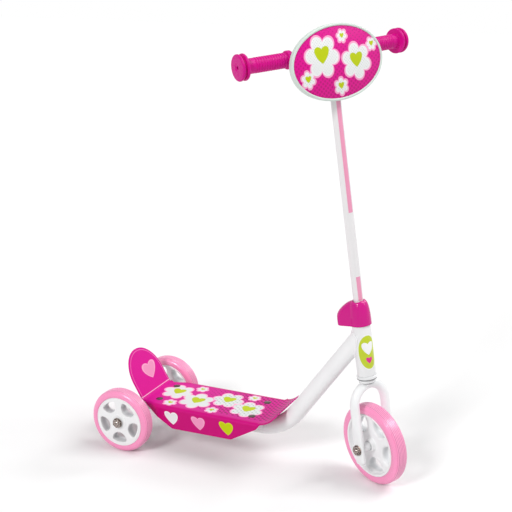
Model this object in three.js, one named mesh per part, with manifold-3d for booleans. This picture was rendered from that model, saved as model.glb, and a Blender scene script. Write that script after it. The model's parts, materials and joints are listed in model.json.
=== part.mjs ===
// A child's three wheel scooter, in millimetres: X forwards, Y to the rider's left, Z up.
// It is laid out from the ground under the middle of the rear axle, and centred at the end.
import * as THREE from 'three';
import { mergeVertices } from 'three/addons/utils/BufferGeometryUtils.js';
import Module from 'manifold-3d';

const wasm = await Module();
wasm.setup();

// Fits: still pieces, turning pieces, and how far a cutter passes its cut
const seatGap = 0.3;
const runningGap = 0.5;
const cutOverrun = 3;

// Stance
const wheelbase = 447;
const rakeDegrees = 7.9;
const restSteerDegrees = -28.3;

// Wheels: pink soft tyres on white five-opening rims
const frontWheelRadius = 70;
const rearWheelRadius = 58;
const frontRimRadius = 55;
const rearRimRadius = 45.5;
const wheelWidth = 26;
const tyreShoulderRadius = 7;
const beadWidth = 9;
const beadDepth = 2.5;
const rimRingWall = 3.5;
const rimDishDepth = 7;
const rimDishSlope = 4;
const hubRadius = 13.5;
const hubProud = 1.5;
const hubBossRadius = 10.5;
const openingInnerShare = 0.485;
const openingRoundShare = 0.34;
const openingMargin = 3.3;
const openingCornerRadius = 3;
const openingCount = 5;
const frontOpeningDegrees = 17;
const rearOpeningDegrees = 18;
const rearWheelOffset = 84;

// Hub bushes and axles
const axleRadius = 4;
const bushSpigotRadius = 6.2;
const bushFlangeRadius = 8.5;
const bushFlangeThickness = 1.2;
const bushLength = 9;
const axleNutAcrossFlats = 13;
const axleNutHexHeight = 4.5;
const axleNutDomeHeight = 3.5;
const axleNutDomeRadius = 5.4;
const axleNutBoreDepth = 5.5;
const spacerRadius = 7.5;
const rearAxleTubeRadius = 10;
const rearAxleTubeBore = 8;

// Fork: one bent tube, its legs pressed flat round the axle
const forkLegOffset = 31;
const forkTubeRadius = 7.25;
const forkArchHeight = 75;
const forkLegDrop = 25;
const forkLegLength = 9;
const forkLegThickness = 4;
const forkFlattenStart = 50;
const forkFlattenEnd = 18;
const forkTipChamfer = 6;
const forkTipShare = 0.55;
const forkFlatPower = 3.2;

// Steerer, headset and stem, measured up the steering axis from the front axle
const steererRadius = 10.2;
const steererWall = 1.6;
const steererTop = 229;
const crownRaceRadius = 13.6;
const crownRaceHeight = 5.5;
const headTubeRadius = 15.6;
const headTubeWall = 1.8;
const headTubeBottom = 123;
const headTubeTop = 213;
const lowerCupRadius = 16.7;
const lowerCupHeight = 5.2;
const upperCupHeight = 3;
const cupSpigotLength = 16;
const collarHeight = 9;
const collarWall = 2.2;
const stemPinRadius = 2.5;
const stemRadius = 8.25;
const stemWall = 1.5;
const stemBottom = 150;

// Headset cover: a dome round the stem and a lobe that points back, screwed to a tab
const coverBottom = 212;
const coverTop = 251.5;
const coverRadius = 17.8;
const coverWall = 1.6;
const coverCrownWall = 6;
const coverMouthOverrun = 1;
const coverHeightShares = [0, 0.36, 0.61, 0.86, 0.96, 1];
const coverRadiusShares = [1, 0.93, 0.89, 0.82, 0.68, 0.55];
const coverBiteRadius = 9.5;
const coverBiteDepth = 4;
const lobeBottom = 207;
const lobeReach = 40.2;
const lobeHalfWidth = 11;
const lobeHeightShares = [0, 0.34, 0.5, 0.65, 0.81, 0.93, 0.98];
const lobeReachShares = [1, 1, 0.945, 0.83, 0.645, 0.45, 0.29];
const lobeWidthShares = [1, 1, 0.99, 0.95, 0.85, 0.7, 0.5];
const coverScrewRadius = 2;
const coverScrewHeadRadius = 3.8;
const coverScrewHeadHeight = 2.4;
const coverScrewLength = 14;
const coverBossRadius = 4.6;
const coverBossHeight = 24;
const coverScrewReach = 28.5;
const tabThickness = 3;
const tabHalfWidth = 8;

// Frame tube: level under the deck, then bent up to the head tube
const frameTubeRadius = 15;
const frameTubeWall = 2;
const frameTubeDrop = 22.7;
const frameTubeBendRadius = 90;
const frameTubeSlopeDegrees = 54.5;
const frameTubeJointShare = 0.776;

// Deck pan: one folded steel sheet with side skirts, a kick plate and a front lip
const deckHeight = 82.7;
const deckPitchDegrees = 1.1;
const deckThickness = 2;
const deckHalfWidth = 56;
const deckFoldRadius = 4;
const deckRear = 20;
const deckFront = 253;
const deckFlareStart = 30;
const deckFlareEnd = 62;
const skirtRear = 44;
const skirtRearDepth = 15;
const skirtRearCorner = 86;
const skirtFrontCorner = 204;
const skirtRearCornerDepth = 38;
const skirtFrontCornerDepth = 36.5;
const skirtFrontDepth = 8.5;
const lipRadius = 44;
const lipDegrees = 52;
const lipCornerRadius = 12;
const kickHalfWidth = 48;
const kickTiltDegrees = 29.5;
const kickBendRadius = 7;
const kickStraightHeight = 34;
const kickCrownHeight = 53;

// Deck brackets and bolts
const bracketFrontX = 233;
const bracketRearX = 46;
const bracketWidth = 26;
const bracketLength = 84;
const bracketWall = 2.5;
const bracketEndDepth = 9;
const bracketWebHalfWidth = 22;
const bracketTubeOverlap = 2;
const deckBoltSpacing = 62;
const deckBoltRadius = 3;
const deckBoltHeadRadius = 6.5;
const deckBoltHeadHeight = 3;
const deckBoltTail = 3;
const deckNutAcrossFlats = 10;
const deckNutHeight = 5;

// Handlebar and grips, measured out along each swept back arm
const barHeight = 649.3;
const barRadius = 8.25;
const barWall = 1.5;
const barHalfLength = 156;
const barSweepDegrees = 6.84;
const barBendRadius = 40;
const gripStart = 71.5;
const gripFlangeRadius = 14.2;
const gripFlangeWidth = 8.5;
const gripCoreRadius = 10.9;
const gripRibHeight = 1;
const gripRibPitch = 4.4;
const gripRibCount = 12;
const gripSmoothRadius = 11.7;
const gripDiscRadius = 20.3;
const gripDiscThickness = 4.6;
const gripDiscSpacing = 8.5;
const gripDiscRound = 1.4;
const gripDiscNeckRadius = 16;
const gripEnd = 163;
const gripEndHoleRadius = 3;

// Front plate: a moulded oval shell with a coloured panel let into its face
const plateDrop = 14.3;
const plateHalfWidth = 89.6;
const plateHalfHeight = 58.5;
const plateFront = 18;
const plateDepth = 8;
const plateWall = 2.2;
const plateRimWidth = 4.2;
const plateRecessDepth = 1.6;
const panelThickness = 1;
const padOffset = 28;
const padWidth = 15;
const padHalfHeight = 20;
const clampLugThickness = 4;
const clampRadius = 12;
const clampSplitGap = 1;
const clampScrewSpacing = 31;
const clampScrewRadius = 2;
const clampScrewHeadRadius = 3.5;
const clampScrewHeadHeight = 2.2;
const clampScrewLength = 13;

// How finely round things are made
const wheelFacets = 24;
const tubeSides = 14;
const forkSides = 12;
const barSides = 12;
const smallSides = 10;
const gripSides = 12;
const ovalSides = 30;
const bendSteps = 5;
const barBendSteps = 2;
const arcSteps = 3;
const shoulderSteps = 2;
const openingSteps = 2;
const mergeTolerance = 1e-4;

const { clamp, degToRad, lerp } = THREE.MathUtils;
const rake = degToRad(rakeDegrees);
const restSteer = degToRad(restSteerDegrees);
const deckPitch = degToRad(deckPitchDegrees);
const barSweep = degToRad(barSweepDegrees);
const quarterTurn = Math.PI / 2;
const axisX = new THREE.Vector3(1, 0, 0);
const axisY = new THREE.Vector3(0, 1, 0);
const axisZ = new THREE.Vector3(0, 0, 1);

// Finishes
const finish = (color, roughness, metalness = 0) =>
  new THREE.MeshStandardMaterial({ color, roughness, metalness });
const pinkTyre = finish(0xfcb7d6, 0.35);
const whiteMoulding = finish(0xeeeeee, 0.4);
const whitePaint = finish(0xececee, 0.25, 0.1);
const magentaPaint = finish(0xe41f8b, 0.35, 0.1);
const magentaGloss = finish(0xcd118a, 0.2);
const magentaGrip = finish(0xd10e86, 0.45);
const magentaPrint = finish(0xe30096, 0.4);
const greyNylon = finish(0xd8d8d8, 0.5);
const zincSteel = finish(0xb8babc, 0.35, 0.9);

// Shape helpers

/** Turns every triangle round if the closed surface encloses a negative volume. */
function facingOut(geometry) {
  const at = geometry.attributes.position;
  const { array } = geometry.index;
  const [a, b, c] = [new THREE.Vector3(), new THREE.Vector3(), new THREE.Vector3()];
  let volume = 0;
  for (let i = 0; i < array.length; i += 3) {
    a.fromBufferAttribute(at, array[i]);
    b.fromBufferAttribute(at, array[i + 1]);
    c.fromBufferAttribute(at, array[i + 2]);
    volume += a.dot(b.cross(c));
  }
  if (volume < 0) {
    for (let i = 0; i < array.length; i += 3) {
      [array[i + 1], array[i + 2]] = [array[i + 2], array[i + 1]];
    }
  }
  geometry.computeVertexNormals();
  return geometry;
}

/** The solid inside a closed geometry. */
function solidOf(geometry) {
  const bare = geometry.clone();
  bare.deleteAttribute('normal');
  bare.deleteAttribute('uv');
  const merged = mergeVertices(bare, mergeTolerance);
  const { array } = merged.index;
  const triangles = [];
  for (let i = 0; i < array.length; i += 3) {
    const [a, b, c] = [array[i], array[i + 1], array[i + 2]];
    if (a !== b && b !== c && c !== a) triangles.push(a, b, c);
  }
  return new wasm.Manifold(
    new wasm.Mesh({
      numProp: 3,
      vertProperties: new Float32Array(merged.attributes.position.array),
      triVerts: new Uint32Array(triangles),
    }),
  );
}

/** The closed geometry of a solid. */
function geometryOf(solid) {
  const mesh = solid.getMesh();
  const geometry = new THREE.BufferGeometry();
  geometry.setAttribute('position', new THREE.BufferAttribute(mesh.vertProperties, 3));
  geometry.setIndex(new THREE.BufferAttribute(mesh.triVerts, 1));
  geometry.computeVertexNormals();
  return geometry;
}

const cut = (body, ...cutters) =>
  geometryOf(cutters.reduce((left, cutter) => left.subtract(solidOf(cutter)), solidOf(body)));
const joined = (body, ...others) =>
  geometryOf(others.reduce((sum, other) => sum.add(solidOf(other)), solidOf(body)));
const common = (body, other) => geometryOf(solidOf(body).intersect(solidOf(other)));

/** Evenly spaced values from one number to another, both included. */
const spread = (from, to, steps) =>
  Array.from({ length: steps + 1 }, (_, i) => lerp(from, to, i / steps));

/** Points [x, y] along an arc. */
const arcPoints = (centreX, centreY, radius, from, to, steps = arcSteps) =>
  spread(from, to, steps).map((angle) => [
    centreX + radius * Math.cos(angle),
    centreY + radius * Math.sin(angle),
  ]);

/** Points [radius, height] up a flattened dome to its top on the axis. */
const domePoints = (radius, bottom, height) =>
  arcPoints(0, 0, 1, 0, quarterTurn, shoulderSteps).map(([x, y], i) => [
    i < shoulderSteps ? x * radius : 0,
    bottom + y * height,
  ]);

/** A body turned about the Y axis from its half section of [radius, height] points. */
function turned(profile, sides = tubeSides, startAngle = 0) {
  const points = profile.map(([radius, height]) => new THREE.Vector2(radius, height));
  if (points[0].x > 0 || points.at(-1).x > 0) points.push(points[0].clone());
  return facingOut(new THREE.LatheGeometry(points, sides, startAngle));
}

const rod = (radius, from, to, sides = tubeSides) =>
  turned([[0, from], [radius, from], [radius, to], [0, to]], sides);
const pipe = (radius, bore, from, to, sides = tubeSides) =>
  turned([[bore, from], [radius, from], [radius, to], [bore, to]], sides);
const upright = (geometry) => geometry.rotateX(quarterTurn);

/** A prism whose outline is drawn in X and Z, centred on Y. */
function prismAlongY(shape, length, curveSegments = arcSteps) {
  const geometry = new THREE.ExtrudeGeometry(shape, {
    depth: length,
    bevelEnabled: false,
    curveSegments,
  });
  return geometry.translate(0, 0, -length / 2).rotateX(quarterTurn);
}

/** A prism whose outline is drawn in Y and Z, from one X to another. */
function prismAlongX(shape, from, to) {
  const geometry = new THREE.ExtrudeGeometry(shape, {
    depth: to - from,
    bevelEnabled: false,
    curveSegments: ovalSides / 2,
  });
  return geometry.rotateX(quarterTurn).rotateZ(quarterTurn).translate(from, 0, 0);
}

/** A closed skin over rings of points, capped at both ends. */
function lofted(rings) {
  const count = rings[0].length;
  const positions = rings.flat().flatMap((point) => point.toArray());
  const index = [];
  for (let ring = 0; ring + 1 < rings.length; ring++) {
    for (let i = 0; i < count; i++) {
      const [a, b] = [ring * count + i, ring * count + ((i + 1) % count)];
      index.push(a, b, b + count, a, b + count, a + count);
    }
  }
  const last = (rings.length - 1) * count;
  for (let i = 1; i + 1 < count; i++) {
    index.push(0, i + 1, i, last, last + i, last + i + 1);
  }
  const geometry = new THREE.BufferGeometry();
  geometry.setAttribute('position', new THREE.Float32BufferAttribute(positions, 3));
  geometry.setIndex(index);
  return facingOut(geometry);
}

/** Stations along straight runs joined by round bends. */
function bentPath(corners, bendRadius, steps = bendSteps) {
  const heading = (i) => corners[i + 1].clone().sub(corners[i]).normalize();
  const stations = [{ point: corners[0].clone(), along: heading(0) }];
  for (let i = 1; i + 1 < corners.length; i++) {
    const [before, after] = [heading(i - 1), heading(i)];
    const turn = before.angleTo(after);
    const inward = after.clone().addScaledVector(before, -before.dot(after)).normalize();
    const centre = corners[i]
      .clone()
      .addScaledVector(before, -bendRadius * Math.tan(turn / 2))
      .addScaledVector(inward, bendRadius);
    for (let step = 0; step <= steps; step++) {
      const angle = (turn * step) / steps;
      const out = inward.clone().multiplyScalar(-Math.cos(angle));
      out.addScaledVector(before, Math.sin(angle));
      const along = before.clone().multiplyScalar(Math.cos(angle));
      along.addScaledVector(inward, Math.sin(angle));
      stations.push({ point: centre.clone().addScaledVector(out, bendRadius), along });
    }
  }
  stations.push({ point: corners.at(-1).clone(), along: heading(corners.length - 2) });
  return stations.filter(
    ({ point }, i) => i === 0 || point.distanceTo(stations[i - 1].point) > seatGap,
  );
}

/** A body swept along stations; the section gives [across, outward] points at each. */
function swept(stations, across, section) {
  return lofted(
    stations.map((station, i) => {
      const outward = across.clone().cross(station.along);
      return section(station, i).map(([u, v]) =>
        station.point.clone().addScaledVector(across, u).addScaledVector(outward, v),
      );
    }),
  );
}

const circle = (radius, sides) =>
  arcPoints(0, 0, radius, 0, 2 * Math.PI, sides).slice(0, sides);

/** A round tube along a path, open at both ends. */
function bentTube(stations, across, radius, wall, sides = tubeSides) {
  const longer = stations.map(({ point, along }, i) => {
    const past = i === 0 ? -cutOverrun : i === stations.length - 1 ? cutOverrun : 0;
    return { point: point.clone().addScaledVector(along, past), along };
  });
  return cut(
    swept(stations, across, () => circle(radius, sides)),
    swept(longer, across, () => circle(radius - wall, sides)),
  );
}

function piece(name, geometry, material) {
  const mesh = new THREE.Mesh(geometry, material);
  mesh.name = name;
  return mesh;
}

function group(x, y, z, ...children) {
  const made = new THREE.Group();
  made.position.set(x, y, z);
  if (children.length) made.add(...children);
  return made;
}

// Frames of reference

const treadHalfWidth = wheelWidth / 2 - tyreShoulderRadius;
const wheelLean = Math.asin(Math.sin(rake) * Math.sin(-restSteer));
const frontAxleHeight =
  frontWheelRadius * Math.cos(wheelLean) + treadHalfWidth * Math.abs(Math.sin(wheelLean));

const scooter = new THREE.Group();
const head = group(wheelbase, 0, frontAxleHeight);
head.rotation.y = -rake;
const steering = group(0, 0, 0);
steering.rotation.z = restSteer;
const deck = group(0, 0, deckHeight);
deck.rotation.y = -deckPitch;
scooter.add(head, deck);
head.add(steering);
scooter.updateMatrixWorld(true);

// Wheels

function tyreGeometry(radius, rimRadius, downAngle) {
  const half = wheelWidth / 2;
  const tread = radius / Math.cos(Math.PI / wheelFacets);
  const bore = rimRadius + seatGap;
  const shoulder = tread - tyreShoulderRadius;
  return turned(
    [
      [bore, -half],
      ...arcPoints(shoulder, -treadHalfWidth, tyreShoulderRadius, -quarterTurn, 0, shoulderSteps),
      ...arcPoints(shoulder, treadHalfWidth, tyreShoulderRadius, 0, quarterTurn, shoulderSteps),
      [bore, half],
      [bore, beadWidth / 2],
      [bore + beadDepth, beadWidth / 2],
      [bore + beadDepth, -beadWidth / 2],
      [bore, -beadWidth / 2],
    ],
    wheelFacets,
    downAngle + Math.PI / wheelFacets,
  );
}

/** One opening: a round side towards the hub meets an arc along the rim's ring. */
function openingShape(ring) {
  const outer = ring - openingMargin;
  const round = ring * openingRoundShare;
  const middle = ring * openingInnerShare + round;
  const cornerX = (outer ** 2 - round ** 2 + middle ** 2) / (2 * middle);
  const cornerY = Math.sqrt(outer ** 2 - cornerX ** 2);
  const outerEnd = Math.atan2(cornerY, cornerX) - openingCornerRadius / outer;
  const roundStart = Math.atan2(cornerY, cornerX - middle) + openingCornerRadius / round;
  const start = [middle + round * Math.cos(roundStart), round * Math.sin(roundStart)];
  const shape = new THREE.Shape();
  shape.moveTo(outer * Math.cos(outerEnd), -outer * Math.sin(outerEnd));
  shape.absarc(0, 0, outer, -outerEnd, outerEnd, false);
  shape.quadraticCurveTo(cornerX, cornerY, ...start);
  shape.absarc(middle, 0, round, roundStart, 2 * Math.PI - roundStart, false);
  shape.quadraticCurveTo(
    cornerX,
    -cornerY,
    outer * Math.cos(outerEnd),
    -outer * Math.sin(outerEnd),
  );
  return shape;
}

function rimGeometry(rimRadius, downAngle, openingDegrees) {
  const half = wheelWidth / 2;
  const ribHalf = beadWidth / 2 - seatGap;
  const ring = rimRadius - rimRingWall;
  const body = turned(
    [
      [bushSpigotRadius + seatGap, -half],
      [hubBossRadius, -half],
      [hubBossRadius + rimDishSlope, rimDishDepth - half],
      [ring - rimDishSlope / 2, rimDishDepth - half],
      [ring, -half],
      [rimRadius, -half],
      [rimRadius, -ribHalf],
      [rimRadius + beadDepth, -ribHalf],
      [rimRadius + beadDepth, ribHalf],
      [rimRadius, ribHalf],
      [rimRadius, half],
      [hubRadius + hubProud, half],
      [hubRadius, half + hubProud],
      [bushSpigotRadius + seatGap, half + hubProud],
    ],
    wheelFacets,
    downAngle + Math.PI / wheelFacets,
  );
  const shape = openingShape(ring);
  const openings = Array.from({ length: openingCount }, (_, i) =>
    prismAlongY(shape, wheelWidth + 2 * cutOverrun, openingSteps).rotateY(
      degToRad(openingDegrees) + (2 * Math.PI * i) / openingCount,
    ),
  );
  return cut(body, ...openings);
}

/** A flanged bush: its flange starts at Y = 0 and its spigot runs to negative Y. */
function bushGeometry() {
  const bore = axleRadius + runningGap;
  return turned(
    [
      [bore, bushFlangeThickness],
      [bushFlangeRadius, bushFlangeThickness],
      [bushFlangeRadius, 0],
      [bushSpigotRadius, 0],
      [bushSpigotRadius, -bushLength],
      [bore, -bushLength],
    ],
    smallSides,
  );
}

/** A wheel about the Y axis; its flat face, with the proud hub, looks along +Y. */
function wheel(name, radius, rimRadius, openingDegrees, downAngle = Math.PI) {
  const outerBush = piece(name + '_bush_outer', bushGeometry(), greyNylon);
  outerBush.position.y = wheelWidth / 2 + hubProud + seatGap;
  const innerBush = piece(name + '_bush_inner', bushGeometry(), greyNylon);
  innerBush.position.y = -wheelWidth / 2 - seatGap;
  innerBush.rotation.z = Math.PI;
  return group(
    0,
    0,
    0,
    piece(name + '_tyre', tyreGeometry(radius, rimRadius, downAngle), pinkTyre),
    piece(name + '_rim', rimGeometry(rimRadius, downAngle, openingDegrees), whiteMoulding),
    outerBush,
    innerBush,
  );
}

const flatFaceEnd = wheelWidth / 2 + hubProud + seatGap + bushFlangeThickness;
const dishedFaceEnd = wheelWidth / 2 + seatGap + bushFlangeThickness;

/** A hexagon nut with a domed cap; it seats on Y = 0 and points along +Y. */
function capNutGeometry() {
  const corner = axleNutAcrossFlats / 2 / Math.cos(Math.PI / 6);
  const hexagon = rod(corner, 0, axleNutHexHeight, 6);
  const dome = turned(
    [
      [0, axleNutHexHeight / 2],
      [axleNutDomeRadius, axleNutHexHeight / 2],
      ...domePoints(axleNutDomeRadius, axleNutHexHeight, axleNutDomeHeight),
    ],
    smallSides,
  );
  const bore = rod(axleRadius + seatGap, -cutOverrun, axleNutBoreDepth, smallSides);
  return cut(joined(hexagon, dome), bore);
}

/** An axle along Y with a cap nut at each end, its nuts seated at the given places. */
function axleWithNuts(name, leftSeat, rightSeat) {
  const reach = axleNutBoreDepth - seatGap;
  const shaft = rod(axleRadius, -rightSeat - reach, leftSeat + reach, smallSides);
  const left = piece(name + '_nut_left', capNutGeometry(), zincSteel);
  left.position.y = leftSeat;
  const right = piece(name + '_nut_right', capNutGeometry(), zincSteel);
  right.position.y = -rightSeat;
  right.rotation.z = Math.PI;
  return [piece(name, shaft, zincSteel), left, right];
}

function rearAxle() {
  const nutSeat = rearWheelOffset + flatFaceEnd + runningGap;
  const tubeEnd = rearWheelOffset - dishedFaceEnd - runningGap;
  const tube = pipe(rearAxleTubeRadius, rearAxleTubeBore, -tubeEnd, tubeEnd);
  const left = wheel('rear_wheel_left', rearWheelRadius, rearRimRadius, rearOpeningDegrees);
  left.position.y = rearWheelOffset;
  const right = wheel('rear_wheel_right', rearWheelRadius, rearRimRadius, rearOpeningDegrees);
  right.position.y = -rearWheelOffset;
  right.rotation.z = Math.PI;
  return group(
    0,
    0,
    rearWheelRadius,
    piece('rear_axle_tube', tube, whitePaint),
    ...axleWithNuts('rear_axle', nutSeat, nutSeat),
    left,
    right,
  );
}

// Fork

/** The fork's section at a height over the axle, grown by a clearance. */
function forkSection(height, clearance) {
  const flat = clamp((forkFlattenStart - height) / (forkFlattenStart - forkFlattenEnd), 0, 1);
  const tip = clamp((height + forkLegDrop) / forkTipChamfer, 0, 1);
  const tipScale = forkTipShare + (1 - forkTipShare) * Math.sqrt(tip);
  const length = lerp(forkTubeRadius, forkLegLength, flat) * tipScale + clearance;
  const thickness = lerp(forkTubeRadius, forkLegThickness, flat) + clearance;
  const power = 2 / lerp(2, forkFlatPower, flat);
  const bulge = (value) => Math.sign(value) * Math.abs(value) ** power;
  return circle(1, forkSides).map(([u, v]) => [length * bulge(u), thickness * bulge(v)]);
}

/** The bent fork tube in the plane of Y and Z, grown by a clearance. */
function forkTube(clearance = 0) {
  const legHeights = [-forkLegDrop, -forkLegDrop + forkTipChamfer / 2, forkTipChamfer - forkLegDrop];
  const heights = [...legHeights, ...spread(forkFlattenEnd, forkFlattenStart, arcSteps)];
  const corner = forkArchHeight + forkLegOffset;
  const arch = bentPath(
    [
      new THREE.Vector3(0, -forkLegOffset, forkFlattenStart),
      new THREE.Vector3(0, -forkLegOffset, corner),
      new THREE.Vector3(0, forkLegOffset, corner),
      new THREE.Vector3(0, forkLegOffset, forkFlattenStart),
    ],
    forkLegOffset,
  ).slice(1, -1);
  const rightLeg = heights.map((z) => ({
    point: new THREE.Vector3(0, -forkLegOffset, z),
    along: axisZ,
  }));
  const leftLeg = heights.toReversed().map((z) => ({
    point: new THREE.Vector3(0, forkLegOffset, z),
    along: axisZ.clone().negate(),
  }));
  const stations = [...rightLeg, ...arch, ...leftLeg];
  return swept(stations, axisX, ({ point }) => forkSection(point.z, clearance));
}

function frontFork() {
  const hole = axleRadius + seatGap;
  const reach = forkLegOffset + forkLegThickness + cutOverrun;
  const fork = cut(forkTube(), rod(hole, -reach, reach, smallSides));
  const archCutter = forkTube(seatGap);
  const archCentre = forkArchHeight + forkLegOffset;
  const steerer = cut(
    upright(pipe(steererRadius, steererRadius - steererWall, archCentre, steererTop)),
    archCutter,
    stemPinCutter(),
  );
  const raceTop = headTubeBottom - lowerCupHeight - seatGap - runningGap;
  const race = cut(
    upright(pipe(crownRaceRadius, steererRadius + seatGap, raceTop - crownRaceHeight, raceTop)),
    archCutter,
  );
  const legFace = forkLegOffset - forkLegThickness - seatGap;
  const spacerBore = axleRadius + seatGap;
  const leftSpacer = pipe(spacerRadius, spacerBore, flatFaceEnd + runningGap, legFace, smallSides);
  const rightSpacer = pipe(
    spacerRadius,
    spacerBore,
    -legFace,
    -dishedFaceEnd - runningGap,
    smallSides,
  );
  const nutSeat = forkLegOffset + forkLegThickness + seatGap;
  return [
    piece('fork', fork, whitePaint),
    piece('steerer_tube', steerer, whitePaint),
    piece('crown_race', race, zincSteel),
    piece('front_spacer_left', leftSpacer, whiteMoulding),
    piece('front_spacer_right', rightSpacer, whiteMoulding),
    ...axleWithNuts('front_axle', nutSeat, nutSeat),
  ];
}

/** The front wheel, a facet of its tread turned to the ground. */
function frontWheel() {
  const toWheel = steering.matrixWorld.clone().invert();
  const down = axisZ.clone().negate().transformDirection(toWheel);
  const downAngle = Math.atan2(down.x, down.z);
  return wheel('front_wheel', frontWheelRadius, frontRimRadius, frontOpeningDegrees, downAngle);
}

// Headset and stem

const collarBottom = headTubeTop + seatGap + upperCupHeight + runningGap;
const collarRadius = steererRadius + seatGap + collarWall;
const stemPinHeight = collarBottom + collarHeight / 2;

/** Clears the cross pin that ties stem, steerer and collar together. */
function stemPinCutter() {
  const reach = collarRadius + cutOverrun;
  return rod(stemPinRadius + seatGap, -reach, reach, smallSides).translate(0, 0, stemPinHeight);
}

/** A headset cup; its flange runs to +Y from 0 and its spigot to negative Y. */
function cupGeometry(flangeRadius, flangeHeight) {
  const bore = steererRadius + runningGap;
  const spigot = headTubeRadius - headTubeWall - seatGap;
  return turned([
    [bore, flangeHeight],
    [flangeRadius, flangeHeight],
    [flangeRadius, 0],
    [spigot, 0],
    [spigot, -cupSpigotLength],
    [bore, -cupSpigotLength],
  ]);
}

function headset() {
  const headTube = upright(
    pipe(headTubeRadius, headTubeRadius - headTubeWall, headTubeBottom, headTubeTop),
  );
  const lowerCup = cupGeometry(lowerCupRadius, lowerCupHeight)
    .rotateX(-quarterTurn)
    .translate(0, 0, headTubeBottom - seatGap);
  const upperCup = upright(cupGeometry(headTubeRadius, upperCupHeight)).translate(
    0,
    0,
    headTubeTop + seatGap,
  );
  return [
    piece('head_tube', headTube, whitePaint),
    piece('headset_cup_lower', lowerCup, greyNylon),
    piece('headset_cup_upper', upperCup, greyNylon),
  ];
}

function stem() {
  const collar = cut(
    upright(
      pipe(collarRadius, steererRadius + seatGap, collarBottom, collarBottom + collarHeight),
    ),
    stemPinCutter(),
  );
  const pin = rod(stemPinRadius, -collarRadius, collarRadius, smallSides);
  const tube = cut(
    upright(pipe(stemRadius, stemRadius - stemWall, stemBottom, barHeight, barSides)),
    stemPinCutter(),
    handlebarCutter(),
  );
  return [
    piece('steerer_collar', collar, zincSteel),
    piece('stem_pin', pin.translate(0, 0, stemPinHeight), zincSteel),
    piece('stem_tube', tube, whitePaint),
  ];
}

/** The outside of the cover's dome, shrunk by a wall, between two heights. */
function coverDome(wall, bottom, top) {
  const radii = coverRadiusShares.map((share, i) => [
    coverRadius * share - wall,
    lerp(bottom, top, coverHeightShares[i]),
  ]);
  return upright(turned([[0, bottom], ...radii, [0, top]]));
}

/** The outside of the cover's lobe, shrunk by a wall, between two heights. */
function coverLobe(wall, bottom, top) {
  const rings = lobeHeightShares.map((share, i) => {
    const halfWidth = lobeHalfWidth * lobeWidthShares[i] - wall;
    const centre = wall + halfWidth - lobeReach * lobeReachShares[i];
    const height = lerp(bottom, top, share);
    const back = arcPoints(centre, 0, halfWidth, quarterTurn, 3 * quarterTurn, 2 * arcSteps);
    return [...back, [0, -halfWidth], [0, halfWidth]].map(
      ([x, y]) => new THREE.Vector3(x, y, height),
    );
  });
  return lofted(rings);
}

function headsetCover() {
  const bite = rod(coverBiteRadius, -coverRadius, coverRadius).translate(
    0,
    0,
    coverTop - coverBiteDepth + coverBiteRadius,
  );
  const stemHole = upright(
    rod(stemRadius + runningGap, coverBottom, coverTop + cutOverrun),
  );
  const roof = coverTop - coverCrownWall;
  const lobeRoof = roof + coverWall;
  const boss = upright(rod(coverBossRadius, lobeBottom, lobeBottom + coverBossHeight, smallSides));
  const screwHole = upright(
    rod(
      coverScrewRadius + seatGap,
      lobeBottom - tabThickness - seatGap - cutOverrun,
      lobeBottom + coverScrewLength,
      smallSides,
    ),
  ).translate(-coverScrewReach, 0, 0);
  const shell = cut(
    joined(coverDome(0, coverBottom, coverTop), coverLobe(0, lobeBottom, coverTop)),
    coverDome(coverWall, coverBottom - coverMouthOverrun, roof),
    coverLobe(coverWall, lobeBottom - coverMouthOverrun, lobeRoof),
    upright(rod(headTubeRadius + runningGap, lobeBottom - cutOverrun, coverBottom + seatGap)),
  );
  const cover = cut(
    joined(shell, boss.translate(-coverScrewReach, 0, 0)),
    bite,
    stemHole,
    screwHole,
  );
  const tabTop = lobeBottom - seatGap;
  const tabShape = new THREE.Shape();
  tabShape.moveTo(0, -tabHalfWidth);
  tabShape.lineTo(0, tabHalfWidth);
  tabShape.lineTo(-coverScrewReach, tabHalfWidth);
  tabShape.absarc(-coverScrewReach, 0, tabHalfWidth, quarterTurn, 3 * quarterTurn, false);
  const tab = cut(
    new THREE.ExtrudeGeometry(tabShape, {
      depth: tabThickness,
      bevelEnabled: false,
      curveSegments: 2 * arcSteps,
    }).translate(0, 0, tabTop - tabThickness),
    upright(rod(headTubeRadius + seatGap, headTubeBottom, headTubeTop)),
    screwHole,
  );
  const headSeat = tabTop - tabThickness - seatGap;
  const screw = upright(
    turned(
      [
        [0, headSeat - coverScrewHeadHeight],
        [coverScrewHeadRadius, headSeat - coverScrewHeadHeight],
        [coverScrewHeadRadius, headSeat],
        [coverScrewRadius, headSeat],
        [coverScrewRadius, lobeBottom + coverScrewLength - seatGap],
        [0, lobeBottom + coverScrewLength - seatGap],
      ],
      smallSides,
    ),
  );
  return [
    piece('headset_cover', cover, magentaGloss),
    piece('cover_tab', tab, whitePaint),
    piece('cover_screw', screw.translate(-coverScrewReach, 0, 0), zincSteel),
  ];
}

// Frame tube

const frameTubeHeight = deckHeight - frameTubeDrop;

/** Stations of the tube's centre line, from the rear axle to the steering axis. */
function frameTubePath() {
  const jointHeight = lerp(headTubeBottom, headTubeTop, frameTubeJointShare);
  const end = head.localToWorld(new THREE.Vector3(0, 0, jointHeight));
  const run = (end.z - frameTubeHeight) / Math.tan(degToRad(frameTubeSlopeDegrees));
  const corner = new THREE.Vector3(end.x - run, 0, frameTubeHeight);
  return bentPath([new THREE.Vector3(0, 0, frameTubeHeight), corner, end], frameTubeBendRadius);
}

function frameTube() {
  const headCutter = upright(rod(headTubeRadius + seatGap, headTubeBottom, headTubeTop));
  const axleReach = frameTubeRadius + cutOverrun;
  return cut(
    bentTube(frameTubePath(), axisY, frameTubeRadius, frameTubeWall),
    headCutter.applyMatrix4(head.matrixWorld),
    rod(rearAxleTubeRadius + seatGap, -axleReach, axleReach).translate(0, 0, rearWheelRadius),
  );
}

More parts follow.
